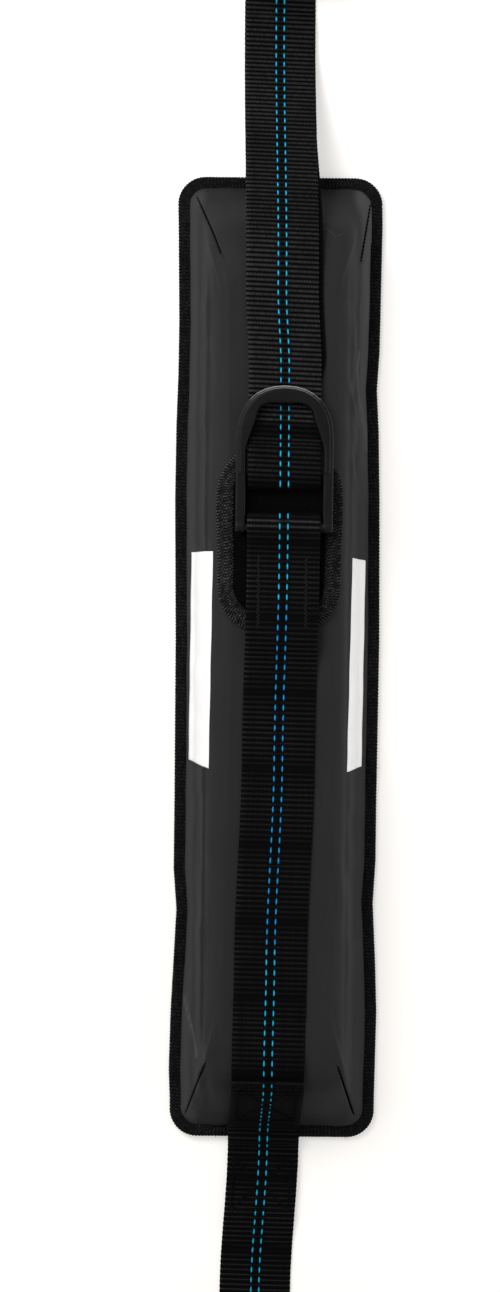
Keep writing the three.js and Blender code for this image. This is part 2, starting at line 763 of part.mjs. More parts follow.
// Crossed box stitch that lies on the lower strap.
function boxStitch(top, run) {
  const bends = 6; // places where a row that runs down the strap may bend with it
  const half = webWidth / 2 - boxMargin;
  const corners = [[-half, top], [half, top], [half, top - run], [-half, top - run]];
  const rows = [[0, 1], [1, 2], [2, 3], [3, 0], [0, 2], [1, 3]];
  const lift = -(webThickness / 2 + ribHeight + seatGap + threadRadius);
  const place = (x, y) => {
    const [py, pz] = onStrap(lowerStrapLine, y, lift);
    return new THREE.Vector3(x + stray(y), py, pz);
  };
  const sides = 4;
  const section = new THREE.Shape(Array.from({ length: sides }, (_, k) => new THREE.Vector2(
    threadRadius * Math.cos((2 * k * Math.PI) / sides),
    threadRadius * Math.sin((2 * k * Math.PI) / sides),
  )));
  const threads = rows.map(([a, b]) => {
    const steps = corners[a][1] === corners[b][1] ? 1 : bends;
    const points = Array.from({ length: steps + 1 }, (_, i) => place(
      THREE.MathUtils.lerp(corners[a][0], corners[b][0], i / steps),
      THREE.MathUtils.lerp(corners[a][1], corners[b][1], i / steps),
    ));
    return new THREE.ExtrudeGeometry(section, { steps, extrudePath: new THREE.CatmullRomCurve3(points) });
  });
  return unite(threads);
}

// Assembly

const rack = new THREE.Group();

function addPiece(name, geometry, material) {
  const piece = new THREE.Mesh(geometry, material);
  piece.name = name;
  rack.add(piece);
  return piece;
}

const bartackX = webWidth / 2 - bartackInset;
const onBar = () => buckleX;
const none = () => false;

addPiece('base_panel', basePanel(), materials.grip);
addPiece('foam_core', foamCore(), materials.foam);
addPiece('pad_cover', padCover(), materials.cover);
addPiece('binding_tape', bindingTape(), materials.tape);
addPiece('buckle_flap', buckleFlap(), materials.neoprene);
addPiece('flap_binding', flapBinding(), materials.tape);
addPiece('buckle', buckle(), materials.metal).position.x = buckleX;
addPiece('buckle_strap', webbing(buckleStrapLine, { ribSide: -1 }), materials.webbing);
addPiece('bartack_left', bartack(stray(bartackStart) - bartackX), materials.thread);
addPiece('bartack_right', bartack(stray(bartackStart) + bartackX), materials.thread);
addPiece('strap_turn', webbing(turnLine, { ribSide: -1, strayAt: onBar }), materials.webbing);
addPiece('long_strap', webbing(longStrapLine, { ribsWhile: (y) => y < tailEnd }), materials.webbing);
const tail = webbing(smoothLine(slackCorners, hiddenStep), { strayAt: strayTail, ribsWhile: none });
addPiece('long_strap_tail', tail, materials.webbing);
const beforeRoll = (y) => y > rollRadius - rollStart;
addPiece('lower_strap', webbing(lowerStrapLine, { ribSide: -1, ribsWhile: beforeRoll }), materials.webbing);
addPiece('box_stitch_pad', boxStitch(boxPadIn - halfLength, boxPadRun), materials.thread);
addPiece('box_stitch_strap', boxStitch(-halfLength - boxStrapOut, boxStrapRun), materials.thread);

export default rack;
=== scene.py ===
# %% [markdown]
# # A padded soft roof rack
#
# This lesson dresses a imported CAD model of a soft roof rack. The CAD gives the main shapes and their places.
# Blender adds what makes them look real: folded vinyl, ribbed webbing, knitted tape, thread and a cast
# buckle.
#
# The pad lies on the floor, +Y runs along it towards the buckle's end, and +Z is up.
# Blender works in metres. The numbers for shapes are written in millimetres, as a maker would write them,
# and one helper turns them into metres when a mesh is made.

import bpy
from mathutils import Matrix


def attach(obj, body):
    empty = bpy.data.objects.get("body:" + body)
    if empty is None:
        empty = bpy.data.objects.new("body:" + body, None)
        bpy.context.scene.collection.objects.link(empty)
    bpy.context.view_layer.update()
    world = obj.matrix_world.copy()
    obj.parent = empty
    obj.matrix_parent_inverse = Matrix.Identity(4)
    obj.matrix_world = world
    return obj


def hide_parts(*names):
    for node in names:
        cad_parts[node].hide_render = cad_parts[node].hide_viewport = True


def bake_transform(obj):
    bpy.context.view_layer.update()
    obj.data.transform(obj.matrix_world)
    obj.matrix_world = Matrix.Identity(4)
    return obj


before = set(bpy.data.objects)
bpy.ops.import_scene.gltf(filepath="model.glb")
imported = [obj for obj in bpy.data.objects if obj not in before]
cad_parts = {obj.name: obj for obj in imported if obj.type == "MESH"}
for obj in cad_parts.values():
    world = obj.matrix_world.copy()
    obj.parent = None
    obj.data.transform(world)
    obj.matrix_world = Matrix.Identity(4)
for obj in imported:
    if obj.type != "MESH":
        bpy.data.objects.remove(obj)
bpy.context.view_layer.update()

# %% The modules this lesson uses
import math

import bmesh
import bpy
import numpy as np
from mathutils import Vector
from mathutils.bvhtree import BVHTree

scene = bpy.context.scene
scene.view_settings.view_transform = "Standard"
noise = np.random.default_rng(7)
print("View transform:", scene.view_settings.view_transform)

# %% [markdown]
# ## Camera
#
# The photo looks straight down on the rack. Its frame shows about 70 cm from top to bottom, from 1.5 m up.
# The pad leans half a degree in the frame, so the camera turns by that much about its own axis.

# %% Camera straight above the pad
camera_x, camera_y, camera_height = -0.01416, 0.00583, 1.5
view_height = 0.7016
lean = 0.555

camera_data = bpy.data.cameras.new("photo_camera")
camera_data.sensor_fit = "VERTICAL"
camera_data.sensor_height = 24
camera_data.lens = camera_data.sensor_height * camera_height / view_height
camera = bpy.data.objects.new("photo_camera", camera_data)
camera.location = (camera_x, camera_y, camera_height)
camera.rotation_euler = (0, 0, math.radians(lean))
scene.collection.objects.link(camera)
scene.camera = camera
print("Focal length:", round(camera_data.lens, 1), "mm")

# %% [markdown]
# ## Node helpers
#
# A material is a small tree of nodes. Making nodes by hand in code is wordy, so short helpers do it. They add
# a node, set its options and feed its inputs: what comes from another node is linked, and a plain number or
# colour is written into the socket. Then there are short words for sums, for a ramp between two values and
# for a blend of two colours.

# %% Short ways to add nodes
def feed(tree, socket, value):
    if isinstance(value, bpy.types.NodeSocket):
        tree.links.new(value, socket)
    else:
        socket.default_value = value


def add_node(tree, kind, inputs=None, **settings):
    node = tree.nodes.new(kind)
    for name, value in settings.items():
        setattr(node, name, value)
    for name, value in (inputs or {}).items():
        feed(tree, node.inputs[name], value)
    return node


def maths(tree, operation, a, b=0.0, c=0.0):
    return add_node(tree, "ShaderNodeMath", {0: a, 1: b, 2: c}, operation=operation).outputs[0]


def vector_maths(tree, operation, a, b):
    return add_node(tree, "ShaderNodeVectorMath", {0: a, 1: b}, operation=operation).outputs


def ramp(tree, value, zero_at, one_at):
    return add_node(tree, "ShaderNodeMapRange", {0: value, 1: zero_at, 2: one_at}).outputs[0]


print("Node helpers ready")

# %% Colours and blends
def grey(value):
    """A grey with a trace of blue, as most black goods have."""
    return (value, value, value * 1.03, 1)


def blend_colours(tree, factor, a, b):
    return add_node(tree, "ShaderNodeMix", {0: factor, 6: a, 7: b}, data_type="RGBA").outputs[2]


def tint(tree, colour, mask, strength, towards):
    """The colour, blended towards another one where the mask is."""
    return blend_colours(tree, maths(tree, "MULTIPLY", mask, strength), colour, towards)


print("Colour helpers ready")

# %% New node group with named inputs and outputs
def new_group(name, inputs, outputs):
    tree = bpy.data.node_groups.new(name, "ShaderNodeTree")
    for label, (kind, default) in inputs.items():
        socket = tree.interface.new_socket(label, in_out="INPUT", socket_type=kind)
        if default is not None:
            socket.default_value = default
    for label, kind in outputs.items():
        tree.interface.new_socket(label, in_out="OUTPUT", socket_type=kind)
    return tree, tree.nodes.new("NodeGroupInput").outputs, tree.nodes.new("NodeGroupOutput").inputs


def place_group(tree, group, inputs):
    return add_node(tree, "ShaderNodeGroup", inputs, node_tree=group).outputs


NUMBER = "NodeSocketFloat"
VECTOR = "NodeSocketVector"
print("Group helpers ready")

# %% [markdown]
# ## Effects that several finishes share
#
# Webbing, edge tape, knitted tape and thread are all yarn. Seen close, yarn is rows of small rounded beads,
# and each row is shifted against the next. One node group makes those beads from two lengths: how far across
# the cloth a point lies, and how far along it. Each material gives its own bead size.

# %% Yarn beads
yarn_beads, given, result = new_group(
    "yarn_beads",
    {"Run": (VECTOR, None), "Bead Width": (NUMBER, 0.0006), "Bead Length": (NUMBER, 0.0013),
     "Shift": (NUMBER, 0.5)},
    {"Height": NUMBER, "Tone": NUMBER},
)


def bulge(value):
    """Swells from 0 to 1 and back, once for each whole step of the value."""
    wave = maths(yarn_beads, "SINE", maths(yarn_beads, "MULTIPLY", value, math.pi))
    return maths(yarn_beads, "SQRT", maths(yarn_beads, "ABSOLUTE", wave))


place = add_node(yarn_beads, "ShaderNodeSeparateXYZ", {0: given["Run"]}).outputs
rows = maths(yarn_beads, "DIVIDE", place[1], given["Bead Length"])
row = maths(yarn_beads, "FLOOR", rows)
beads_across = maths(yarn_beads, "DIVIDE", place[0], given["Bead Width"])
shifted = maths(yarn_beads, "MULTIPLY_ADD", row, given["Shift"], beads_across)
cell = add_node(yarn_beads, "ShaderNodeCombineXYZ", {0: maths(yarn_beads, "FLOOR", shifted), 1: row})
chance = add_node(yarn_beads, "ShaderNodeTexWhiteNoise", {0: cell.outputs[0]}, noise_dimensions="3D")
feed(yarn_beads, result["Height"], maths(yarn_beads, "MULTIPLY", bulge(shifted), bulge(rows)))
feed(yarn_beads, result["Tone"], chance.outputs["Value"])
print("Group:", yarn_beads.name)

# %% [markdown]
# Black vinyl, cast metal and thread are never one even black. Handling leaves faint cloudy patches, and dust
# settles as small specks. This group gives both as masks, from noise at two sizes.

# %% Handling marks and dust
handling, given, result = new_group(
    "handling",
    {"Place": (VECTOR, None), "Cloud Size": (NUMBER, 0.05), "Speck Size": (NUMBER, 0.0012)},
    {"Clouds": NUMBER, "Specks": NUMBER},
)


def noise_at(tree, place, size, detail=3.0):
    """Soft noise with clouds of about the given size."""
    scaled = add_node(tree, "ShaderNodeVectorMath", {0: place, "Scale": maths(tree, "DIVIDE", 1.0, size)},
                      operation="SCALE")
    return add_node(tree, "ShaderNodeTexNoise",
                    {"Vector": scaled.outputs[0], "Scale": 1.0, "Detail": detail}).outputs[0]


feed(handling, result["Clouds"], noise_at(handling, given["Place"], given["Cloud Size"]))
fine = noise_at(handling, given["Place"], given["Speck Size"], detail=1.0)
feed(handling, result["Specks"], ramp(handling, fine, 0.70, 0.78))
print("Group:", handling.name)

# %% [markdown]
# The last shared effect is grain: the fine pebbling of coated cloth and of sprayed or cast surfaces. It is
# noise at two sizes, and a stretch turns the pebbles into streaks.

# %% Fine grain
fine_grain, given, result = new_group(
    "fine_grain",
    {"Place": (VECTOR, None), "Grain Size": (NUMBER, 0.0008), "Stretch": (VECTOR, (1.0, 1.0, 1.0))},
    {"Height": NUMBER},
)
stretched = vector_maths(fine_grain, "MULTIPLY", given["Place"], given["Stretch"])["Vector"]
coarse = noise_at(fine_grain, stretched, given["Grain Size"], detail=2.0)
finer_size = maths(fine_grain, "MULTIPLY", given["Grain Size"], 0.35)
finer = noise_at(fine_grain, stretched, finer_size, detail=1.0)
feed(fine_grain, result["Height"], maths(fine_grain, "MULTIPLY_ADD", finer, 0.4, coarse))
print("Group:", fine_grain.name)

# %% New material with a Principled shader
def new_material(name, roughness, specular):
    material = bpy.data.materials.new(name)
    material.use_nodes = True
    tree = material.node_tree
    shader = tree.nodes["Principled BSDF"]
    shader.inputs["Roughness"].default_value = roughness
    shader.inputs["Specular IOR Level"].default_value = specular
    return material, tree, shader


def bump(tree, shader, height, distance, strength=1.0, before=None):
    """Shades the surface as if the height were real, on top of the bump before it."""
    node = add_node(tree, "ShaderNodeBump", {"Height": height, "Distance": distance, "Strength": strength})
    if before is not None:
        tree.links.new(before, node.inputs["Normal"])
    tree.links.new(node.outputs[0], shader.inputs["Normal"])
    return node.outputs[0]


print("Material helpers ready")

# %% Where a point lies, and the shared effects there
def object_place(tree):
    return tree.nodes.new("ShaderNodeTexCoord").outputs["Object"]


def from_mesh(tree, name, output="Fac"):
    """A value that the mesh carries at each of its points."""
    return add_node(tree, "ShaderNodeAttribute", attribute_name=name).outputs[output]


def beads_on(tree, width, length):
    return place_group(tree, yarn_beads, {"Run": from_mesh(tree, "run", "Vector"), "Bead Width": width,
                                          "Bead Length": length})


def marks_on(tree, where, cloud_size, speck_size):
    return place_group(tree, handling, {"Place": where, "Cloud Size": cloud_size, "Speck Size": speck_size})


def grain_on(tree, where, size, stretch=(1.0, 1.0, 1.0)):
    return place_group(tree, fine_grain, {"Place": where, "Grain Size": size, "Stretch": stretch})["Height"]


print("Effects ready to place")

# %% [markdown]
# ## Finishes
#
# The webbing is black polyester. Its ribs are modelled, and its material adds the yarn: beads across each
# rib, each a little lighter or darker than the next. A value from the mesh paints light and shade on top:
# painted shade in the grooves between the ribs, and painted shade or highlight along a strap where it lies in
# shade or catches the light. The tapes are made in the same way. The threads are too, but they have no ribs
# and no painted shade.

# %% Yarn materials
def yarn_material(name, dark, light, bead, depth, uneven=0.5, ribbed=False):
    """Beads of yarn of a width and a length, from dark to light, each as light as chance has it."""
    material, tree, shader = new_material(name, roughness=0.85, specular=0.03)
    beads = beads_on(tree, *bead)
    marks = marks_on(tree, object_place(tree), 0.03, 0.0009)
    by_chance = maths(tree, "MULTIPLY_ADD", beads["Tone"], uneven, 1.0 - 0.5 * uneven)
    tone = maths(tree, "MULTIPLY", beads["Height"], by_chance)
    tone = maths(tree, "MULTIPLY", tone, maths(tree, "MULTIPLY_ADD", marks["Clouds"], 1.2, 0.4))
    # Painted shade: the mesh's value darkens the grooves between ribs, and stretches of strap that lie in
    # shade.
    if ribbed:
        tone = maths(tree, "MULTIPLY", tone, from_mesh(tree, "painted_light"))
    tone = maths(tree, "MINIMUM", tone, 1.0)
    feed(tree, shader.inputs["Base Color"], blend_colours(tree, tone, grey(dark), grey(light)))
    bump(tree, shader, beads["Height"], depth)
    return material


webbing_yarn = yarn_material("webbing_yarn", 0.0008, 0.036, (0.0008, 0.00255), 0.00016, ribbed=True)
tight_webbing = yarn_material("tight_webbing", 0.0016, 0.095, (0.0007, 0.0402), 0.0001, ribbed=True)
tape_yarn = yarn_material("tape_yarn", 0.0010, 0.027, (0.0008, 0.0019), 0.0003, uneven=1.0, ribbed=True)
knit_yarn = yarn_material("knit_yarn", 0.0006, 0.095, (0.0015, 0.0016), 0.0003, uneven=1.1, ribbed=True)
sewing_thread = yarn_material("sewing_thread", 0.001, 0.024, (0.0004, 0.0005), 0.00005, uneven=1.2)
dark_thread = yarn_material("dark_thread", 0.0008, 0.008, (0.0004, 0.0005), 0.00005, uneven=1.2)
print("Yarn materials:", webbing_yarn.name, tape_yarn.name, knit_yarn.name, sewing_thread.name)

# %% [markdown]
# Two blue tracer yarns run along every strap. Each of their floats gets painted shade towards its ends,
# where it dives between the ribs, so it is brighter on its crown, and they catch light like filament does.
# Along the middle of the short strap they are a deeper blue.

# %% Tracer yarns
def tracer(name, shaded_end_colour, middle_colour):
    material, tree, shader = new_material(name, roughness=0.5, specular=0.08)
    twist = beads_on(tree, 0.00035, 0.0009)["Height"]
    # Painted shade: darker towards each float's ends, from the mesh's value.
    shade = maths(tree, "MULTIPLY", from_mesh(tree, "painted_light"), maths(tree, "MULTIPLY_ADD", twist, 0.4, 0.6))
    feed(tree, shader.inputs["Base Color"], blend_colours(tree, shade, shaded_end_colour, middle_colour))
    bump(tree, shader, twist, 0.00006)
    return material


tracer_yarn = tracer("tracer_yarn", (0.001, 0.06, 0.20, 1), (0.004, 0.60, 0.92, 1))
deep_tracer = tracer("deep_tracer", (0.001, 0.05, 0.22, 1), (0.004, 0.38, 0.84, 1))
print("Tracers:", tracer_yarn.name, deep_tracer.name)

# %% [markdown]
# The cover is coated cloth, like a truck tarpaulin: satin black, with faint streaks along its length, cloudy
# handling marks and a little dust. The grain is too fine to see as dots but it softens every highlight. Sharp
# folds get a painted highlight along their crests, and the foot by the tape a painted band of light, the
# floor's reflection. The mesh says where, as a value it carries at each point.

# %% Cover vinyl
cover_vinyl, tree, shader = new_material("cover_vinyl", roughness=0.55, specular=0.035)
where = object_place(tree)
marks = marks_on(tree, where, 0.06, 0.0011)
streaks = grain_on(tree, where, 0.003, stretch=(1.0, 0.06, 1.0))
tone = maths(tree, "MULTIPLY_ADD", streaks, 0.5, marks["Clouds"])
colour = blend_colours(tree, maths(tree, "MULTIPLY", tone, 0.7), grey(0.015), grey(0.028))
colour = tint(tree, colour, marks["Specks"], 0.12, grey(0.07))
# Painted highlight on the sharp folds and painted light along the foot.
colour = blend_colours(tree, from_mesh(tree, "painted_sheen"), colour, grey(0.065))
feed(tree, shader.inputs["Base Color"], colour)
feed(tree, shader.inputs["Roughness"], maths(tree, "MULTIPLY_ADD", marks["Clouds"], 0.14, 0.46))
streaked = bump(tree, shader, streaks, 0.00006, strength=0.6)
bump(tree, shader, grain_on(tree, where, 0.0006), 0.00005, strength=0.6, before=streaked)
print("Cover:", cover_vinyl.name)

# %% [markdown]
# The buckle is cast and coated. Its satin black coat is thinner on raised edges, where it looks a shade
# lighter; that lighter edge is partly a painted highlight on the bevels. The Geometry node's Pointiness isn't
# kept by every exporter, so a Bevel node finds the edges: where its rounded normal leaves the true normal,
# there is an edge. The arch's outer rim gets a painted highlight, one light line. A mask picks that rim: what
# faces up and along +Y, near the arch's top and below its step.

# %% Buckle coating
buckle_coating, tree, shader = new_material("buckle_coating", roughness=0.34, specular=0.08)
where = object_place(tree)
marks = marks_on(tree, where, 0.012, 0.0008)
true_normal = tree.nodes.new("ShaderNodeNewGeometry").outputs["Normal"]
rounded = add_node(tree, "ShaderNodeBevel", {"Radius": 0.0009}, samples=6).outputs[0]
edge = ramp(tree, vector_maths(tree, "DOT_PRODUCT", rounded, true_normal)["Value"], 0.995, 0.90)
# Edge wear, partly a painted highlight: lighter along every edge, in clouds.
edge_wear_and_highlight = maths(tree, "MULTIPLY", edge, marks["Clouds"])

# Painted highlight on the arch's outer rim, where it faces up and along +Y.
rim_direction = (0, 0.8, 0.6)
own_normal = tree.nodes.new("ShaderNodeTexCoord").outputs["Normal"]
outward = ramp(tree, vector_maths(tree, "DOT_PRODUCT", own_normal, rim_direction)["Value"], 0.74, 0.96)
spot = add_node(tree, "ShaderNodeSeparateXYZ", {0: where}).outputs
near_top, below_step = ramp(tree, spot[1], 0.120, 0.138), ramp(tree, spot[2], 0.0571, 0.0567)
painted_rim_highlight = maths(tree, "MULTIPLY", outward, maths(tree, "MULTIPLY", near_top, below_step))

colour = blend_colours(tree, marks["Clouds"], grey(0.002), grey(0.006))
colour = tint(tree, colour, edge_wear_and_highlight, 1.2, grey(0.085))
colour = tint(tree, colour, painted_rim_highlight, 0.9, grey(0.30))
colour = tint(tree, colour, marks["Specks"], 0.15, grey(0.10))
feed(tree, shader.inputs["Base Color"], colour)
feed(tree, shader.inputs["Roughness"], maths(tree, "MULTIPLY_ADD", marks["Clouds"], 0.2, 0.28))
bump(tree, shader, grain_on(tree, where, 0.0005), 0.00004, strength=0.6)
print("Coating:", buckle_coating.name)

# %% [markdown]
# The neoprene of the flap, the painted shadow along a closed seam, the grip base and the foam each need
# less: a plain colour with grain in it, and bump at the right scale.

# %% Plain finishes with grain
def grained(name, dark, light, size, depth, roughness=0.95, specular=0.1):
    material, tree, shader = new_material(name, roughness, specular)
    where = object_place(tree)
    marks = marks_on(tree, where, 0.02, 0.0012)
    grain = grain_on(tree, where, size)
    colour = blend_colours(tree, maths(tree, "MULTIPLY", marks["Clouds"], grain), grey(dark), grey(light))
    feed(tree, shader.inputs["Base Color"], tint(tree, colour, marks["Specks"], 0.04, grey(0.15)))
    bump(tree, shader, grain, depth)
    return material


neoprene = grained("neoprene", 0.0012, 0.006, size=0.0009, depth=0.0001, specular=0.0)
seam_shadow = grained("seam_shadow", 0.0006, 0.0015, size=0.0009, depth=0.0001, specular=0.0)
grip_base = grained("grip_base", 0.008, 0.022, size=0.0025, depth=0.0004, roughness=0.9)
foam_cells = grained("foam_cells", 0.20, 0.34, size=0.0015, depth=0.0004)
print("Grained:", neoprene.name, grip_base.name, foam_cells.name)

# %% [markdown]
# The patches are white ink printed on the vinyl. They take the vinyl's fine grain and are faintly dirty. They
# are left bare.

# %% White print
white_print, tree, shader = new_material("white_print", roughness=0.45, specular=0.4)
where = object_place(tree)
marks = marks_on(tree, where, 0.02, 0.0011)
colour = blend_colours(tree, marks["Clouds"], (0.94, 0.94, 0.94, 1), (0.98, 0.98, 0.97, 1))
feed(tree, shader.inputs["Base Color"], tint(tree, colour, marks["Specks"], 0.3, (0.5, 0.49, 0.48, 1)))
bump(tree, shader, grain_on(tree, where, 0.0006), 0.00004, strength=0.6)
print("Print:", white_print.name)

# %% [markdown]
# ## Meshes from numbers
#
# Most pieces here are sweeps: a small closed section carried along a line. Their points form a grid, one row
# of the grid for each place along the line, so one helper can join them with quads. A second helper makes the
# object, turns millimetres into metres and stores each point's place along the cloth for the yarn beads.

# %% Mesh helpers
MM = 0.001


def make_object(name, points, faces, material, run=None, painted_light=None):
    mesh = bpy.data.meshes.new(name)
    mesh.from_pydata((np.asarray(points, float) * MM).tolist(), [], [list(map(int, face)) for face in faces])
    mesh.update()
    mesh.polygons.foreach_set("use_smooth", [True] * len(mesh.polygons))
    if run is not None:
        attribute = mesh.attributes.new("run", "FLOAT_VECTOR", "POINT")
        attribute.data.foreach_set("vector", (np.asarray(run, float) * MM).ravel())
    if painted_light is not None:
        attribute = mesh.attributes.new("painted_light", "FLOAT", "POINT")
        attribute.data.foreach_set("value", np.asarray(painted_light, float).ravel())
    mesh.materials.append(material)
    obj = bpy.data.objects.new(name, mesh)
    scene.collection.objects.link(obj)
    return obj


def grid_faces(rows, columns, joined_rows=False, start=0):
    row_count = rows if joined_rows else rows - 1
    i = np.arange(row_count)[:, None]
    j = np.arange(columns)[None, :]
    after, beside = (i + 1) % rows, (j + 1) % columns
    quads = np.stack(np.broadcast_arrays(i * columns + j, i * columns + beside, after * columns + beside,
                                         after * columns + j), axis=-1)
    return (quads.reshape(-1, 4) + start).tolist()


print("Mesh helpers ready")

# %% Sweep with closed ends
def swept(rows):
    """Faces of a closed section swept along a line, with a fan over each end."""
    count, columns = rows.shape[:2]
    faces = grid_faces(count, columns)
    last = (count - 1) * columns
    faces.append(list(range(columns))[::-1])
    faces.append([last + k for k in range(columns)])
    return rows.reshape(-1, 3), faces


def smoothstep(t):
    t = np.clip(t, 0, 1)
    return t * t * (3 - 2 * t)


def between(value, start, end):
    return smoothstep((np.asarray(value, float) - start) / (end - start))


def fading(distance, reach):
    """1 at no distance, and softly down to 0 beyond the reach."""
    return np.exp(-(distance / reach) ** 2)


print("Sweep helpers ready")

# %% [markdown]
# ## The pad's outline
#
# The edge tape runs round a rounded rectangle. On the real pad that line isn't straight: the sewing pulls the
# tape in and out by a millimetre or two. The same small shifts are given to the base, the cover's foot and
# the tape, so that they stay sewn together.

# %% Pad sizes and the sewn edge's waves
half_width, half_length, pad_corner = 55.5, 260.0, 15.0
pad_top, crown = 46.0, 0.7
wall_foot, side_run, end_run, top_corner = 7.4, 15.0, 42.0, 13.0
hem_low, hem_high, tape_top = 2.6, 3.8, 4.9

left_wave = np.array([[-240, 0], [-224, -0.7], [-192, 0], [-165, 1.3], [-137, 2.6], [-115, 0.9], [-78, 1.0],
                      [9, 0.8], [85, -0.2], [125, 0.1], [153, 0.9], [182, 1.1], [233, 0.3], [245, 0]])
right_wave = np.array([[-240, 0], [-192, -0.9], [-165, 0], [-133, 1.6], [-110, 0.3], [-78, 0.2], [9, -0.6],
                       [85, 0], [122, 0.8], [145, 2.0], [165, 0.8], [182, 0.5], [233, -0.2], [245, 0]])


def edge_shift(points):
    """Moves points near the pad's long sides in or out, as the sewn edge waves."""
    moved = points.copy()
    x, y = points[..., 0], points[..., 1]
    near = between(np.abs(x), 36, 50) * (1 - between(points[..., 2], 5, 30))
    inward = np.where(x < 0, np.interp(y, *left_wave.T), np.interp(y, *right_wave.T))
    moved[..., 0] -= np.sign(x) * inward * near
    return moved


print("Edge waves:", len(left_wave), "and", len(right_wave), "places")

# %% Point and inward direction on a rounded rectangle
def outline(half_x, half_y, radius, step):
    """Points round a rounded rectangle, anticlockwise, with the direction inwards at each."""
    corners = [(half_x - radius, half_y - radius, 0), (radius - half_x, half_y - radius, 90),
               (radius - half_x, radius - half_y, 180), (half_x - radius, radius - half_y, 270)]
    points, inwards = [], []
    for k, (x, y, start) in enumerate(corners):
        turns = max(4, round(radius * math.pi / 2 / step))
        for angle in np.radians(np.linspace(start, start + 90, turns + 1)):
            points.append((x + radius * math.cos(angle), y + radius * math.sin(angle)))
            inwards.append((-math.cos(angle), -math.sin(angle)))
        straight = 2 * (half_x if k % 2 == 0 else half_y) - 2 * radius
        after = corners[(k + 1) % 4]
        direction = math.radians(start + 90)
        end = (after[0] + radius * math.cos(direction), after[1] + radius * math.sin(direction))
        from_point = points[-1]
        count = max(1, round(straight / step))
        for i in range(1, count):
            points.append(tuple(a + (b - a) * i / count for a, b in zip(from_point, end)))
            inwards.append(inwards[-1])
    return np.array(points), np.array(inwards)


def lengths_along(points, closed=True):
    around = np.roll(points, -1, axis=0) if closed else points[1:]
    steps = np.linalg.norm(around - points[:len(around)], axis=1)
    return np.concatenate([[0], np.cumsum(steps)])


edge_line, edge_in = outline(half_width, half_length, pad_corner, 0.42)
print("Edge tape:", len(edge_line), "places round", round(lengths_along(edge_line)[-1]), "mm")

# %% [markdown]
# ## Edge tape
#
# The tape is folded over the cover's hem and the base. A C-shaped section is swept round the outline. Its
# fold is scalloped where each pass of the needle pulls it in, and its top leg undulates a little.

# %% Edge tape mesh
tape_section = np.array([
    [7.0, 0.0], [4.0, 0.0], [1.4, 0.05], [0.6, 0.4], [0.1, 1.2], [0.0, 2.45], [0.1, 3.7], [0.5, 4.4],
    [1.3, 4.85], [2.8, 5.0], [4.4, 4.95], [6.2, 4.9], [7.0, 4.75], [7.1, 4.4], [6.8, 4.1], [4.0, 4.1],
    [1.1, 4.0], [1.1, 0.9], [4.0, 0.8], [6.9, 0.8],
])
fold_reach = 1.5


def tape_ring(line, inward, section, pitch, scallop, cord, slant, ripple):
    """A folded tape round a closed line: rows round the line, columns round the section. Its cords cross the
    tape at a slant, one per pitch: they scallop the fold and stand up from its upper leg."""
    along = lengths_along(line)[:-1]
    depth, height = section[:, 0], section[:, 1]
    outer = np.exp(-depth / fold_reach)
    ribs = np.abs(np.sin(math.pi * (along[:, None] + slant * depth[None, :]) / pitch))
    slow = (np.sin(along / 9.1) + np.sin(along / 5.3 + 1.7))[:, None] * ripple
    inset = depth[None, :] + (1 - ribs) * scallop * outer[None, :] + slow * (depth > 3)[None, :]
    lift = (height > 3)[None, :] * (slow * 0.5 - (1 - ribs) * cord)
    points = np.empty((len(line), len(section), 3))
    points[..., :2] = line[:, None, :] + inward[:, None, :] * inset[..., None]
    points[..., 2] = height[None, :] + lift
    around = np.concatenate([[0], np.cumsum(np.linalg.norm(np.diff(section, axis=0), axis=1))])
    run = np.stack(np.broadcast_arrays(around[None, :], along[:, None], 0.0), axis=-1)
    return points, run, ribs


tape_points, tape_run, tape_ribs = tape_ring(edge_line, edge_in, tape_section, pitch=1.75, scallop=0.45,
                                             cord=0.35, slant=0.55, ripple=0.14)
# Painted shade: the tape's cords are lighter and the gaps between them darker, from the mesh's value.
edge_tape = make_object("edge_tape", edge_shift(tape_points).reshape(-1, 3),
                        grid_faces(*tape_points.shape[:2], joined_rows=True), tape_yarn,
                        tape_run.reshape(-1, 3), painted_light=tape_ribs ** 2)
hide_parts("binding_tape")
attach(edge_tape, "pad")
print("Edge tape:", len(edge_tape.data.polygons), "faces")

# %% [markdown]
# ## Base panel
#
# The base lies on the roof. It is one flat grippy panel whose rim goes into the tape's fold. It must lie
# flat, so its pebbled grip is in the material only.

# %% Base panel mesh
inside_fold = 1.9
base_line, base_in = outline(half_width - inside_fold, half_length - inside_fold, pad_corner - inside_fold,
                             step=3.0)


def flat_plate(line, inward, rings):
    rows = np.empty((len(rings), len(line), 3))
    for k, (inset, height) in enumerate(rings):
        rows[k, :, :2] = line + inward * inset
        rows[k, :, 2] = height
    return rows


base_section = [(5.6, 0.05), (5.4, 0.0), (5.4, 1.1), (0.1, 1.1), (0, 1.3), (0, 2.2), (0.1, 2.3), (5.4, 2.3)]
base_points, base_faces = swept(edge_shift(flat_plate(base_line, base_in, base_section)))
base_panel = make_object("grip_base_panel", base_points, base_faces, grip_base)
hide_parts("base_panel")
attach(base_panel, "pad")
print("Base panel:", len(base_panel.data.polygons), "faces")

# %% [markdown]
# ## Cover: the starting shape
#
# The cover is drawn over the foam: long walls that lean in, two long sloping ends and a top with a slight
# crown. It starts as rings of quads, a little smaller than it will be, because the cloth swells.

# %% The lean of the walls
lean_share, lean_height, pull = 0.5, 0.78, 0.141


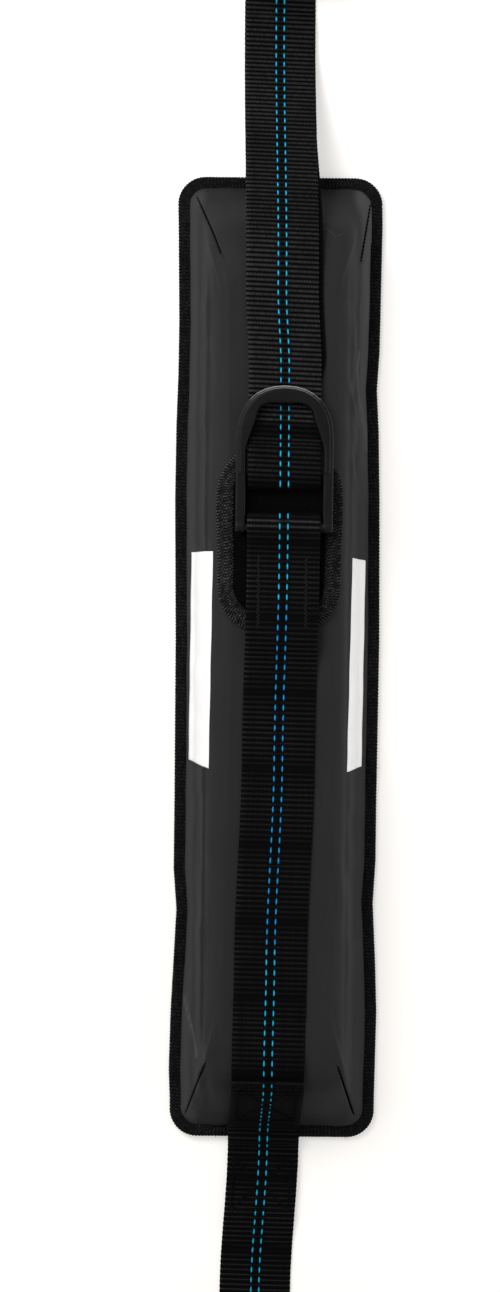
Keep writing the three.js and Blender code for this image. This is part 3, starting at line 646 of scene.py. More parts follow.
def wall_profile(u):
    """Height share of the wall u of the way in: a straight lean and a rounded shoulder."""
    u = np.asarray(u, float)
    t = np.clip((u - lean_share) / lean_share, 0, 1)
    left_over = lean_share - 2 * pull
    bend = (-pull + np.sqrt(pull ** 2 + left_over * (t * lean_share))) / left_over
    rounded = (1 - bend) ** 2 * lean_height + 2 * bend * (1 - bend) + bend ** 2
    return np.where(u <= lean_share, u / lean_share * lean_height, rounded)


print("Wall height half way in:", lean_height)

# %% Rings of the cover
per_corner, per_short, per_long = 6, 12, 96


def cover_ring(inset_x, inset_y, height, radius):
    """One ring with the same number of points at every height, so that rings can be joined."""
    half_x, half_y = half_width - inset_x, half_length - inset_y
    signs = [(1, 1), (-1, 1), (-1, -1), (1, -1)]
    ring = []
    for k, (sx, sy) in enumerate(signs):
        for i in range(per_corner + 1):
            angle = math.radians(90 * (k + i / per_corner))
            ring.append((sx * (half_x - radius) + radius * math.cos(angle),
                         sy * (half_y - radius) + radius * math.sin(angle)))
        nx, ny = signs[(k + 1) % 4]
        angle = math.radians(90 * (k + 1))
        end = (nx * (half_x - radius) + radius * math.cos(angle),
               ny * (half_y - radius) + radius * math.sin(angle))
        start = ring[-1]
        count = per_short if k % 2 == 0 else per_long
        ring += [tuple(a + (b - a) * i / count for a, b in zip(start, end)) for i in range(1, count)]
    return np.column_stack([np.array(ring), np.full(len(ring), height)])


swell_room, hem_inset = 1.0, 2.0
foot_radius = pad_corner - wall_foot
wall_top = pad_top - crown
rings = [cover_ring(wall_foot, wall_foot, hem_low, foot_radius),
         cover_ring(hem_inset, hem_inset, hem_low, pad_corner - hem_inset),
         cover_ring(hem_inset, hem_inset, hem_high, pad_corner - hem_inset)]
for u in (0, 0.12, 0.25, 0.38, 0.5, 0.62, 0.74, 0.87, 1.0):
    room = swell_room * math.sin(math.pi * min(u, 0.5))
    rings.append(cover_ring(wall_foot + u * side_run + room, wall_foot + u * end_run + room,
                            hem_high + (wall_top - hem_high) * float(wall_profile(u)) - room * 0.6,
                            foot_radius + (top_corner - foot_radius) * u))
top_half = half_width - wall_foot - side_run
for t in (0.15, 0.3, 0.45, 0.6, 0.75, 0.9):
    inset = t * top_half
    rings.append(cover_ring(wall_foot + side_run + inset, wall_foot + end_run + inset,
                            wall_top + crown * smoothstep(t * 1.2) - 0.6, top_corner * (1 - t) + 0.3))
print("Cover rings:", len(rings), "of", len(rings[0]), "points")

# %% Join the rings into a closed shell
ring_size = len(rings[0])


def bridge(ring_start, flip):
    """Quads across a ring from its right half to its left half."""
    middle_top = per_corner + per_short // 2
    middle_bottom = middle_top + ring_size // 2
    right = [(middle_bottom + 1 + k) % ring_size for k in range(ring_size // 2 - 1)]
    left = [(middle_bottom - 1 - k) % ring_size for k in range(ring_size // 2 - 1)]
    faces = [[middle_bottom, right[0], left[0]], [right[-1], middle_top, left[-1]]]
    faces += [[a, b, d, c] for a, b, c, d in zip(right, right[1:], left, left[1:])]
    faces = [[ring_start + v for v in face] for face in faces]
    return [face[::-1] for face in faces] if flip else faces


shell_faces = grid_faces(len(rings), ring_size)
shell_faces += bridge(0, flip=True)
shell_faces += bridge((len(rings) - 1) * ring_size, flip=False)
cover = make_object("pad_cover_vinyl", np.array(rings).reshape(-1, 3), shell_faces, cover_vinyl)
pinned_rows = 5
print("Cover shell:", len(cover.data.vertices), "points")

# %% [markdown]
# ## Cover: cloth simulation
#
# A real cover bulges between the places where it is sewn. Blender's Cloth does this: the hem is pinned, a
# little pressure blows the shell up, and the stretch resistance makes the bulge soft. Gravity is off. The
# movement is capped afterwards, because the straps and the flap lie right on the top.

# %% Blow the cover up and keep the shape
def blow_up(obj, pinned, pressure, frames, cap):
    start = np.array([v.co for v in obj.data.vertices])
    group = obj.vertex_groups.new(name="sewn")
    group.add(pinned, 1.0, "REPLACE")
    cloth = obj.modifiers.new("cloth", "CLOTH")
    cloth.settings.quality = 6
    cloth.settings.mass = 0.3
    cloth.settings.tension_stiffness = cloth.settings.compression_stiffness = 25
    cloth.settings.shear_stiffness = 15
    cloth.settings.bending_stiffness = 2.0
    cloth.settings.use_pressure = True
    cloth.settings.uniform_pressure_force = pressure
    cloth.settings.vertex_group_mass = "sewn"
    cloth.settings.effector_weights.gravity = 0
    cloth.collision_settings.use_collision = False
    cloth.point_cache.frame_start, cloth.point_cache.frame_end = 1, frames
    for step in range(1, frames + 1):
        scene.frame_set(step)
    depsgraph = bpy.context.evaluated_depsgraph_get()
    moved = np.array([v.co for v in obj.evaluated_get(depsgraph).data.vertices])
    obj.modifiers.remove(cloth)
    obj.vertex_groups.clear()
    scene.frame_set(1)
    shift = moved - start
    length = np.linalg.norm(shift, axis=1, keepdims=True)
    shift *= cap * np.tanh(length / cap) / np.maximum(length, 1e-9)
    for vertex, place in zip(obj.data.vertices, start + shift):
        vertex.co = place
    return 1000 * float(length.max())


largest = blow_up(cover, list(range(pinned_rows * ring_size)), pressure=4.0, frames=16, cap=0.0016)
print("Cloth moved up to", round(largest, 1), "mm before the cap")

# %% Smooth the cover to its final points
def apply_modifiers(obj):
    """Makes what an object's modifiers show into its own mesh."""
    depsgraph = bpy.context.evaluated_depsgraph_get()
    shaped = bpy.data.meshes.new_from_object(obj.evaluated_get(depsgraph))
    obj.modifiers.clear()
    obj.data = shaped


smoothing = cover.modifiers.new("smooth", "SUBSURF")
smoothing.levels = smoothing.render_levels = 2
apply_modifiers(cover)
print("Cover:", len(cover.data.polygons), "faces after smoothing")

# %% [markdown]
# ## Cover: darts, folds and creases
#
# Each corner of the cover is taken in by a sewn dart: a narrow groove that runs up from the tape and ends in
# a dimple. The long walls have soft puckers, and a few creases cross the shoulders where the vinyl was folded
# in its box. Three folds are sharp and stand up as ridges, and one light scratch crosses the slope at the
# buckle's end. Each of these moves the points along their normals by an amount that fades away from a line.

# %% Where the darts and creases lie
darts = [  # foot, inner end
    ((-45.5, 249.5), (-31.5, 212.7)),
    ((48.8, 246.7), (43.3, 211.5)),
    ((-46.9, -247.9), (-36.3, -215.2)),
    ((44.5, -247.0), (34.7, -216.3)),
]
creases = [  # start, end, depth, width
    ((39.4, 147.6), (47.0, 119.0), 1.8, 1.7),
    ((42.0, 109.5), (49.2, 77.0), 2.0, 2.0),
    ((48.6, 214.0), (48.0, 172.0), -1.3, 1.3),
    ((-48.2, -185.0), (-39.5, -216.5), 1.7, 1.6),
    ((-38.0, -206.0), (-33.0, -243.0), 0.8, 2.2),
    ((-41.0, 181.0), (-35.5, 140.0), 0.6, 3.0),
    ((40.0, 190.0), (46.0, 160.0), 0.6, 3.0),
    ((36.0, -95.0), (44.5, -140.0), 0.7, 3.0),
    ((-44.0, -75.0), (-37.5, -128.0), 0.6, 3.0),
]


def along_segment(x, y, start, end):
    """Distance from a segment, side of it, and how far along it the nearest point is."""
    dx, dy = end[0] - start[0], end[1] - start[1]
    length = math.hypot(dx, dy)
    t = ((x - start[0]) * dx + (y - start[1]) * dy) / length ** 2
    side = ((x - start[0]) * dy - (y - start[1]) * dx) / length
    beyond = np.maximum(np.maximum(-t, t - 1), 0) * length
    return np.hypot(side, beyond), side, np.clip(t, 0, 1)


ridge_lines = [  # places along the crest of each sharp fold
    [(49.5, 241.0), (46.6, 207.0), (48.1, 194.0), (47.4, 181.0)],
    [(42.7, 164.0), (41.3, 154.0), (42.9, 143.5), (45.7, 134.0), (47.9, 124.0), (48.6, 112.0)],
    [(-48.5, -183.0), (-44.5, -198.0), (-40.5, -213.0)],
]
print("Darts:", len(darts), "Creases:", len(creases), "Sharp folds:", len(ridge_lines))

# %% Finer mesh beside the darts
def refine_beside(obj, segments, reach, cuts):
    """Cuts the faces near some segments smaller, so that a narrow groove can be sculpted there."""
    fine = bmesh.new()
    fine.from_mesh(obj.data)
    near = set()
    for edge in fine.edges:
        middle = (edge.verts[0].co + edge.verts[1].co) / 2 / MM
        if middle.z > hem_high + 0.5 and any(along_segment(middle.x, middle.y, *segment)[0] < reach
                                             for segment in segments):
            near.add(edge)
    bmesh.ops.subdivide_edges(fine, edges=list(near), cuts=cuts, use_grid_fill=True)
    fine.to_mesh(obj.data)
    fine.free()


scratches = [((22.2, 227.4), (29.6, 221.5)), ((29.6, 221.5), (33.9, 224.3))]
refine_beside(cover, darts + scratches, 3.0, 3)
print("Cover:", len(cover.data.polygons), "faces with fine darts")

# %% Flare of the cover's foot
def read_points(obj):
    data = np.empty(len(obj.data.vertices) * 3)
    obj.data.vertices.foreach_get("co", data)
    normals = np.empty_like(data)
    obj.data.vertices.foreach_get("normal", normals)
    return data.reshape(-1, 3) / MM, normals.reshape(-1, 3)


points, normals = read_points(cover)
x, y, z = points.T
heights = [5.0, 5.7, 9.0, 14.0, 24.0, 34.0]
spread = np.interp(z, heights, [0, 1.3, 0.3, -1.3, -0.8, 0])
end_foot = between(np.abs(y), 232, 246) * np.interp(z, heights, [0, 1.2, 0.5, 0, 0, 0])
points[:, 0] += np.sign(x) * spread * between(np.abs(x), 30, 44)
points[:, 1] += np.sign(y) * (1 + 1.1 * np.sin(x / 5.2 + 1)) * end_foot
on_wall = between(z, 5, 14)
print("Points on the walls and the top:", int((on_wall > 0).sum()))

# %% Darts
depth = np.zeros(len(points))
for start, end in darts:
    distance, side, t = along_segment(x, y, start, end)
    outward = 1.0 if (end[0] < start[0]) == (start[1] > 0) else -1.0
    depth += 1.3 * fading(distance, 0.42)  # the groove
    depth -= 0.35 * fading(distance - 1.8, 1.3) * (1 - 0.5 * t)  # its soft lips
    depth += 0.3 * between(side * outward, 0, 1.2) * fading(distance, 6)  # one side tucked under the other
    reach = math.hypot(end[0] - start[0], end[1] - start[1])
    tip_x, tip_y = (end[k] + 1.3 * (end[k] - start[k]) / reach for k in (0, 1))
    depth -= 0.45 * fading(np.hypot(x - tip_x, y - tip_y), 0.9)  # a small rise beyond the end
    depth += 0.5 * fading(np.hypot(x - end[0], y - end[1]), 3.0)  # the dimple
print("Points in the darts:", int((depth > 0.2).sum()))

# %% Creases, the scratch and the sharp folds
for start, end, deep, wide in creases:
    distance, side, t = along_segment(x, y, start, end)
    fade = np.sin(math.pi * np.clip(t * 0.9 + 0.05, 0, 1))
    depth += deep * fade * fading(distance, wide)
    depth -= 0.6 * deep * fade * fading(side - 1.9 * wide, wide) * fading(distance, 5 * wide)  # its bank
for start, end in scratches:
    distance, side, t = along_segment(x, y, start, end)
    depth -= 0.3 * np.sin(math.pi * np.clip(t * 0.8 + 0.1, 0, 1)) * fading(distance, 0.5)
near_ridge = np.full(len(points), 99.0)
for line in ridge_lines:
    for start, end in zip(line, line[1:]):
        near_ridge = np.minimum(near_ridge, along_segment(x, y, start, end)[0])
depth -= 0.7 * fading(near_ridge, 0.8)
print("Creased points:", int((np.abs(depth) > 0.2).sum()))

# %% Puckers
straight = 1 - between(np.abs(y), 185, 212)
turn = 2 * math.pi * y / 47 + np.where(x > 0, 1.3, 0)
pucker = 0.6 * np.sin(turn) + 0.4 * np.sin(turn * 1.7 + 0.9) + 0.25 * np.sin(turn * 3.1 + 2)
depth += 0.45 * pucker * between(np.abs(x), 34, 42) * straight
end_wave = 0.5 * np.sin(x / 6.0) + 0.3 * np.sin(x / 3.1 + 1)
depth += 0.5 * end_wave * between(np.abs(y), 225, 246)
points -= normals * (depth * on_wall)[:, None]
print("Deepest place:", round(float(depth.max()), 2), "mm")

# %% Shoulder rolls
def shoulder(x, roll_at, rise, dip_at, deep):
    """The wall's cloth bulges up in a roll, and a shallow valley lies between it and the top."""
    away = x - dip_at
    width = np.where(away < 0, 5.5, 2.2)
    return rise * fading(x - roll_at, 2.4) - deep * fading(away, width)


left_shoulder = shoulder(-x, roll_at=41.4, rise=5.2, dip_at=36.8, deep=3.2)
right_shoulder = shoulder(x, roll_at=43.6, rise=2.2, dip_at=38.5, deep=2.2)
on_top = between(z, 30, 38) * straight
points[:, 2] += on_top * np.where(x < 0, left_shoulder, right_shoulder)
under_straps = np.abs(x) < 34
ceiling = np.where(under_straps, pad_top + 0.1, pad_top + 0.8)
points[:, 2] = np.minimum(points[:, 2], ceiling)
print("Cover top at", round(float(points[:, 2].max()), 2), "mm")

# %% [markdown]
# The last step stores where the vinyl gets painted light: a painted highlight on the sharp folds, and a
# painted band of light along the foot, most of all on the right towards the buckle's end, where the foot lies
# in shade. Then the finished cover takes the place of its solid.

# %% Painted sheen and the finished cover
painted_sheen = 0.8 * fading(near_ridge, 0.55)
points = edge_shift(points)
cover.data.vertices.foreach_set("co", (points * MM).ravel())
# The painted band of light along the foot, strongest on the right towards the buckle's end.
at_foot = between(z, 4, 6) * (1 - between(z, 9, 20)) * between(np.abs(x), 38, 43)
painted_sheen += np.where(x > 0, 0.2 + 0.65 * between(y, 60, 150), 0.45) * at_foot
cover.data.attributes.new("painted_sheen", "FLOAT", "POINT").data.foreach_set("value", painted_sheen)
cover.data.update()
cover.data.polygons.foreach_set("use_smooth", [True] * len(cover.data.polygons))
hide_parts("pad_cover")
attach(cover, "pad")
cover_faces = [list(p.vertices) for p in cover.data.polygons]
cover_tree = BVHTree.FromPolygons([Vector(p) for p in points], cover_faces)
print("Rubbed points:", int((painted_sheen > 0.1).sum()))

# %% [markdown]
# ## Laying small things on the cover
#
# Patches, the painted shadow lines of the darts and stitches lie on the finished cover. A ray is dropped on
# the cover from above, and the place where it lands is lifted a little along the surface's normal.

# %% Drop a point on the cover
def on_cover(x, y, lift, far_above=90.0, at_foot=10.0):
    place, normal, _, _ = cover_tree.ray_cast(Vector((x, y, far_above)), Vector((0, 0, -1)))
    if place is None:
        place, normal, _, _ = cover_tree.find_nearest(Vector((x, y, at_foot)))
    if normal.z < 0:
        normal = -normal
    return place + normal * lift, normal


def line_on_cover(start, end, shares, lift, sway=0.0):
    """Places on the cover, and its outward direction there, at shares of the way from start to end."""
    return [on_cover(start[0] + (end[0] - start[0]) * t,
                     start[1] + (end[1] - start[1]) * t + sway * math.sin(3 * t), lift) for t in shares]


print("Cover at the middle:", [round(v, 1) for v in on_cover(0, 0, 0)[0]])

# %% White patches on the two walls
patches = {
    "left": [(-46.0, 56.1), (-34.1, 55.7), (-35.4, -59.2), (-46.6, -55.7)],
    "right": [(39.9, 53.3), (47.6, 52.7), (46.4, -58.5), (37.8, -60.6)],
}


def patch_mesh(corners, columns=22, rows=150, film=0.22, sunk=0.02):
    """A thin film over the cover between four corners: left and right at its top, right and left below."""
    (ax, ay), (bx, by), (cx, cy), (dx, dy) = corners
    top, under = [], []
    for i in range(rows + 1):
        t = i / rows
        left, right = (ax + (dx - ax) * t, ay + (dy - ay) * t), (bx + (cx - bx) * t, by + (cy - by) * t)
        ripple = 0.08 * math.sin(i / 7.0)
        for j in range(columns + 1):
            s = j / columns
            px, py = left[0] + (right[0] - left[0]) * s + ripple, left[1] + (right[1] - left[1]) * s
            top.append(on_cover(px, py, film)[0])
            under.append(on_cover(px, py, sunk)[0])
    size = columns + 1
    faces = []
    last = len(top)
    for i in range(rows):
        for j in range(columns):
            a = i * size + j
            faces.append([a, a + size, a + size + 1, a + 1])
            faces.append([last + v for v in (a, a + 1, a + size + 1, a + size)])
    border = ([j for j in range(columns)] + [i * size + columns for i in range(rows)]
              + [rows * size + j for j in range(columns, 0, -1)] + [i * size for i in range(rows, 0, -1)])
    for a, b in zip(border, border[1:] + border[:1]):
        faces.append([a, b, last + b, last + a])
    return np.array(top + under), faces


for side, corners in patches.items():
    points_here, faces_here = patch_mesh(corners)
    patch = make_object(f"side_patch_{side}", points_here, faces_here, white_print)
    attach(patch, "pad")
print("Patches:", list(patches))

# %% [markdown]
# ## Thread
#
# Every seam here is a row of short stitches. Each stitch is a small bent capsule whose ends dive into the
# cloth. One helper places stitches along a list of points, with the direction out of the cloth at each.

# %% Stitch helper
def stitch_row(path, normals_out, pitch, radius, gap, rise=0.5):
    """Stitches along a path in millimetres: their points, faces and yarn places. The gap between two is a
    share of the pitch."""
    path, normals_out = np.asarray(path, float), np.asarray(normals_out, float)
    along = lengths_along(path, closed=False)
    count = max(1, round(along[-1] / pitch))
    points_out, faces_out, run_out = [], [], []
    sides, rings_each = 6, 6

    def at(values, s):
        return np.array([np.interp(s, along, values[:, k]) for k in range(3)])

    for k in range(count):
        first = along[-1] * (k + gap / 2) / count
        last = along[-1] * (k + 1 - gap / 2) / count
        direction = at(path, last) - at(path, first)
        direction /= np.linalg.norm(direction) + 1e-9
        base = len(points_out)
        for r in range(rings_each):
            t = r / (rings_each - 1)
            arch = math.sin(math.pi * t)
            out = at(normals_out, first + (last - first) * t)
            centre = at(path, first + (last - first) * t) + out * (radius * (2 * arch - 1) * rise)
            across_here = np.cross(direction, out)
            girth = radius * (0.45 + 0.55 * math.sqrt(max(arch, 0)))
            for side in range(sides):
                angle = 2 * math.pi * side / sides
                points_out.append(centre + girth * (math.cos(angle) * across_here + math.sin(angle) * out))
                run_out.append((side * radius, first + (last - first) * t, 0))
        faces_out += grid_faces(rings_each, sides, start=base)
        faces_out.append([base + v for v in range(sides)][::-1])
        faces_out.append([base + (rings_each - 1) * sides + v for v in range(sides)])
    return points_out, faces_out, run_out


def join_meshes(parts):
    """One mesh of several: their points, their faces and, where they have them, their yarn places."""
    all_points, all_faces, all_run = [], [], []
    for part_points, part_faces, *part_run in parts:
        all_faces += [[v + len(all_points) for v in face] for face in part_faces]
        all_points += np.asarray(part_points).tolist()
        all_run += [place for run in part_run for place in run]
    return all_points, all_faces, all_run


print("Stitch helper ready")

# %% Painted shadow along each dart
def thin_tube(path, radius, sides=6):
    """Rows of points round a path: a thin tube that tapers at both ends."""
    path = np.asarray(path, float)
    ahead = np.gradient(path, axis=0)
    ahead /= np.linalg.norm(ahead, axis=1, keepdims=True)
    beside = np.cross(ahead, (0, 0, 1.0))
    above = np.cross(beside, ahead)
    girth = radius * np.sqrt(np.sin(math.pi * np.linspace(0.04, 0.96, len(path))))
    angles = np.arange(sides) * 2 * math.pi / sides
    return np.array([centre + g * (np.cos(angles)[:, None] * side + np.sin(angles)[:, None] * up)
                     for centre, g, side, up in zip(path, girth, beside, above)])


# A near-black thin tube along each dart is painted shadow: the shade where the dart's two edges meet.
seam_shadow_tubes = []
for start, end in darts:
    lay = line_on_cover(start, end, np.linspace(0.0, 1.0, 30), 0.05)
    seam_shadow_tubes.append(swept(thin_tube([p for p, _ in lay], 0.27)))
dart_seam_shadows = make_object("dart_seam_shadows", *join_meshes(seam_shadow_tubes)[:2], seam_shadow)
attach(dart_seam_shadows, "pad")
print("Dart seams:", len(dart_seam_shadows.data.polygons), "faces")

# %% A light scratch in the vinyl
scratched_vinyl = grained("scratched_vinyl", 0.05, 0.10, size=0.0009, depth=0.00005, roughness=0.7)
scuffs = []
for start, end in scratches:
    lay = line_on_cover(start, end, np.linspace(0.0, 1.0, 24), -0.06, sway=1.0)
    scuffs.append(swept(thin_tube([p for p, _ in lay], 0.13)))
scratch = make_object("vinyl_scratch", *join_meshes(scuffs)[:2], scratched_vinyl)
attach(scratch, "pad")
print("Scratch:", len(scratch.data.polygons), "faces")

# %% Stitches along the darts
dart_rows = []
for start, end in darts:
    lay = line_on_cover(start, end, np.linspace(0.04, 0.97, 24), 0.15)
    thick = 0.5 if start[0] > 0 else 0.34
    dart_rows.append(stitch_row([p for p, _ in lay], [n for _, n in lay], 2.1, thick, gap=0.35))
row_points, row_faces, row_run = join_meshes(dart_rows)
# The stitches are near-black, as painted shade in their needle holes.
dart_stitches = make_object("dart_stitches", row_points, row_faces, seam_shadow, row_run)
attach(dart_stitches, "pad")
print("Dart stitches:", len(dart_stitches.data.polygons), "faces")

# %% [markdown]
# ## Protector flap
#
# Under the buckle lies an oval of neoprene, so that the metal never touches the car. Its edge is bound with a
# wide knitted tape, and the knit shows as fine ribs across the tape.

# %% Flap sizes and body
flap_x, flap_y = 0.7, 62.5
flap_half_x, flap_half_y, flap_corner = 33.0, 50.5, 27.0


def shape_flap(points):
    """The real flap is a touch narrower above the buckle's foot, and its rim follows the cover's shoulder."""
    moved = points.copy()
    x, y = moved[..., 0] - flap_x, moved[..., 1] - flap_y
    moved[..., 0] += 0.5 * np.sin(y / 11.0) * np.sign(x) * between(np.abs(x), 20, 33)
    moved[..., 2] -= 0.7 * between(np.abs(x), 25, 34)
    return moved


body_line, body_in = outline(flap_half_x - 2.4, flap_half_y - 2.4, flap_corner - 2.4, 1.5)
body_section = [(6, 47.25), (1, 47.2), (0, 47.5), (0, 48.7), (1, 49.0), (6, 49.0)]
body_rows = flat_plate(body_line, body_in, body_section)
body_rows[..., 0] += flap_x
body_rows[..., 1] += flap_y
flap_points, flap_faces = swept(shape_flap(body_rows))
flap = make_object("flap_body", flap_points, flap_faces, neoprene)
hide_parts("buckle_flap")
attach(flap, "pad")
print("Flap:", len(flap.data.polygons), "faces")

# %% Knitted tape round the flap
knit_line, knit_in = outline(flap_half_x, flap_half_y, flap_corner, 0.19)
knit_section = np.array([
    [9.0, 46.45], [5.0, 46.3], [1.6, 46.3], [0.5, 46.7], [0.0, 47.6], [0.0, 48.5], [0.4, 49.3], [1.2, 49.8],
    [2.6, 50.05], [4.6, 50.1], [6.8, 50.0], [8.4, 49.8], [9.0, 49.5], [8.8, 49.25], [5.0, 49.3], [1.0, 49.2],
    [1.0, 47.0], [5.0, 46.95], [8.8, 46.9],
])
knit_points, knit_run, knit_ribs = tape_ring(knit_line, knit_in, knit_section, pitch=1.6, scallop=0.2,
                                             cord=0.4, slant=0.3, ripple=0.1)
knit_points[..., 0] += flap_x
knit_points[..., 1] += flap_y
# Painted shade: darker between the knit's ribs, and darker on the right, where the buckle casts its shade.
knit_painted_shade = knit_ribs ** 3 * np.where(knit_points[..., 0] > 20, 0.48, 0.8)
knit_tape = make_object("flap_knit_tape", shape_flap(knit_points).reshape(-1, 3),
                        grid_faces(*knit_points.shape[:2], joined_rows=True), knit_yarn,
                        knit_run.reshape(-1, 3), painted_light=knit_painted_shade)
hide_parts("flap_binding")
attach(knit_tape, "pad")
print("Knitted tape:", len(knit_tape.data.polygons), "faces")

# %% [markdown]
# ## Webbing: the lines it follows
#
# A strap is drawn as a side view: a line of points along the pad and up, and a sideways shift that says how
# it strays across the pad. The lines repeat the CAD's, so each strap lies where its solid lies.

# %% Strap sizes and the straps' stray
web_half, web_thick, rib_height = 19.0, 1.5, 0.25
layer = web_thick + rib_height + 0.3
floor_run, pad_run, flap_run = 0.75, 47.05, 50.95
sewn_run = flap_run + layer

stray_knots = [(-345, -8.2), (-262, -4.4), (-223, -2.6), (-160, -1.8), (-54, 1.3), (55, 2.9), (150, 2.9),
               (195, 1.0), (345, -1.0)]
tail_knots = [(140, 0), (160, 2.4), (225, 2.4), (285, 0)]


def stray(y, knots=stray_knots):
    y = np.asarray(y, float)
    value = np.full(y.shape, float(knots[0][1]))
    for (y0, x0), (y1, x1) in zip(knots, knots[1:]):
        value = np.where(y > y0, x0 + (x1 - x0) * between(y, y0, y1), value)
    return value


print("Strap centre at the buckle:", round(float(stray(100)), 2), "mm")

# %% Smooth and even lines
def smooth_line(corners, per_span=24):
    """A curve through corners, in the same way as the CAD draws it."""
    corners = np.array(corners, float)
    t = np.linspace(0, 1, per_span, endpoint=False)[:, None]
    spans = []
    for i in range(len(corners) - 1):
        p0, p1, p2 = corners[max(i - 1, 0)], corners[i], corners[i + 1]
        p3 = corners[min(i + 2, len(corners) - 1)]
        v0, v1 = (p2 - p0) / 2, (p3 - p1) / 2
        spans.append((2 * p1 - 2 * p2 + v0 + v1) * t ** 3 + (-3 * p1 + 3 * p2 - 2 * v0 - v1) * t ** 2
                     + v0 * t + p1)
    line = np.vstack(spans + [corners[-1:]])
    line[:, 1] = np.maximum(line[:, 1], floor_run)
    return line


def even_line(line, step=0.25):
    along = lengths_along(line, closed=False)
    keep = np.concatenate([[True], np.diff(along) > 1e-6])
    s = np.linspace(0, along[-1], round(along[-1] / step) + 1)
    return np.column_stack([np.interp(s, along[keep], line[keep, k]) for k in range(line.shape[1])])


def line_normals(line):
    ahead = np.gradient(line[:, :2], axis=0)
    ahead /= np.linalg.norm(ahead, axis=1, keepdims=True) + 1e-12
    return np.column_stack([-ahead[:, 1], ahead[:, 0]])


def arc_line(centre_y, centre_z, radius, start, end, steps=24):
    angles = np.radians(np.linspace(start, end, steps + 1))
    return np.column_stack([centre_y + radius * np.cos(angles), centre_z + radius * np.sin(angles)])


def shifted_line(line, distance):
    return line + line_normals(line) * distance


print("Line helpers ready")

# %% The line over the pad's lower end
end_profile = [(0, pad_top)]
for u in np.linspace(1, 0, 21):
    end_profile.append((half_length - wall_foot - u * end_run,
                        hem_high + (wall_top - hem_high) * float(wall_profile(u))))
end_profile += [(253, tape_top), (259.2, tape_top), (260, tape_top - 0.8), (260.01, 0), (900, 0)]
end_profile = np.array(end_profile)


def pressed_line(start, end, clear):
    """Webbing pulled over the pad's end, clear of everything under it, from start down to end."""
    y = np.arange(start, end - 0.01, -0.5)
    reach = np.linspace(-clear, clear, 49)
    under = np.interp(np.abs(y[:, None] + reach[None, :]), *end_profile.T)
    heights = np.max(under + np.sqrt(np.maximum(clear ** 2 - reach ** 2, 0)), axis=1)
    padded = np.pad(heights, 5, mode="edge")
    eased = np.convolve(padded, np.ones(11) / 11, "valid")
    return np.column_stack([y, np.maximum(heights, eased)])


over_end = pressed_line(-190, -301, pad_run - pad_top)
print("Lower end line:", len(over_end), "places")

# %% Rolls at the straps' ends
roll_radius, roll_hole, roll_axis = 30.0, 7.0, 392.0


def roll_line(side):
    """Webbing rolled up like a wheel that stands on the floor, winding inwards."""
    turns = (roll_radius - floor_run - roll_hole) / layer
    angle = np.linspace(0, 2 * math.pi * turns, round(turns * 96))
    radius = roll_radius - floor_run - layer * angle / (2 * math.pi)
    return np.column_stack([side * (roll_axis + radius * np.sin(angle)),
                            roll_radius - radius * np.cos(angle)])


roll_length = lengths_along(roll_line(1), closed=False)[-1]
print("Each roll holds", round(roll_length), "mm of webbing")

# %% The buckle's short strap
hinge_y, hinge_z, loop_radius = 68.0, 54.4, 3.45
loop_nose = arc_line(0, hinge_z, loop_radius, -90, 90) * (2.0, 1) + (hinge_y, 0)
short_line = np.vstack([
    [(12, flap_run), (40, flap_run)],
    loop_nose,
    smooth_line([(68, hinge_z + loop_radius), (64, hinge_z + loop_radius - 0.9), (57, sewn_run + 1.2),
                 (52, sewn_run), (44, sewn_run), (20, sewn_run), (10, sewn_run - 0.3), (-1, pad_run + 1.6),
                 (-12, pad_run), (-28, pad_run), (-100, pad_run), (-190, pad_run)])[1:],
    over_end[1:],
])
print("Short strap:", round(lengths_along(short_line, closed=False)[-1]), "mm")

# %% The lower strap
lower_clear = pad_run - pad_top + layer
over_splice = pressed_line(-223, -302, lower_clear)
over_splice[:, 1] += 1.1 * fading(over_splice[:, 0] + 223, 4.0)
lower_line = np.vstack([
    over_splice,
    smooth_line([(-304, floor_run + layer), (-307, floor_run + layer - 0.6), (-313, floor_run + 0.5),
                 (-319, floor_run), (-327, floor_run), (-roll_axis, floor_run)]),
    roll_line(-1)[1:],
])
print("Lower strap:", round(lengths_along(lower_line, closed=False)[-1]), "mm")

# %% The long strap, from its roll over the buckle's bar to its tail
split_y, tail_end = 137.55, 338.0
slack = smooth_line([(138.25, pad_run), (174.1, pad_run), (205, pad_run), (216, 46.55), (228, 42.85),
                     (250, 33), (280, 19.5), (305, 8.6), (321, 2.9), (331, 0.85), (tail_end, floor_run)])
upper_leg = shifted_line(slack, layer)
bar_front, bar_back, turn_z, turn_radius, loose = 95.0, 107.0, 53.6, 2.65, 3.5
under_arch = 51.5 + 2.4 - 0.3 - rib_height - web_thick / 2
over_bar = smooth_line([(split_y, pad_run + layer), (split_y - 4, pad_run + layer + 0.2),
                        (split_y - 10, under_arch - 1.6), (split_y - 17, under_arch - 0.5),
                        (bar_back + 6.5, under_arch), (bar_back + 4, under_arch + 1.2),
                        (bar_back + 1, turn_z + turn_radius - 0.4), (bar_back - 2, turn_z + turn_radius),
                        (bar_front - loose, turn_z + turn_radius)])
back_under = smooth_line([(bar_front - loose, flap_run), (bar_back, flap_run), (113.5, flap_run),
                          (118, flap_run - 1.2), (split_y - 7, pad_run + 0.5), (split_y - 2, pad_run),
                          (split_y, pad_run)])
floor_part = smooth_line([(tail_end + 3, floor_run + layer), (tail_end + 9, floor_run + 0.7),
                          (tail_end + 15, floor_run), (roll_axis, floor_run)])
to_arch = np.vstack([roll_line(1)[::-1], floor_part[::-1][1:], upper_leg[::-1]])
bar_turn = arc_line(bar_front - loose, turn_z, turn_radius, 90, 270)
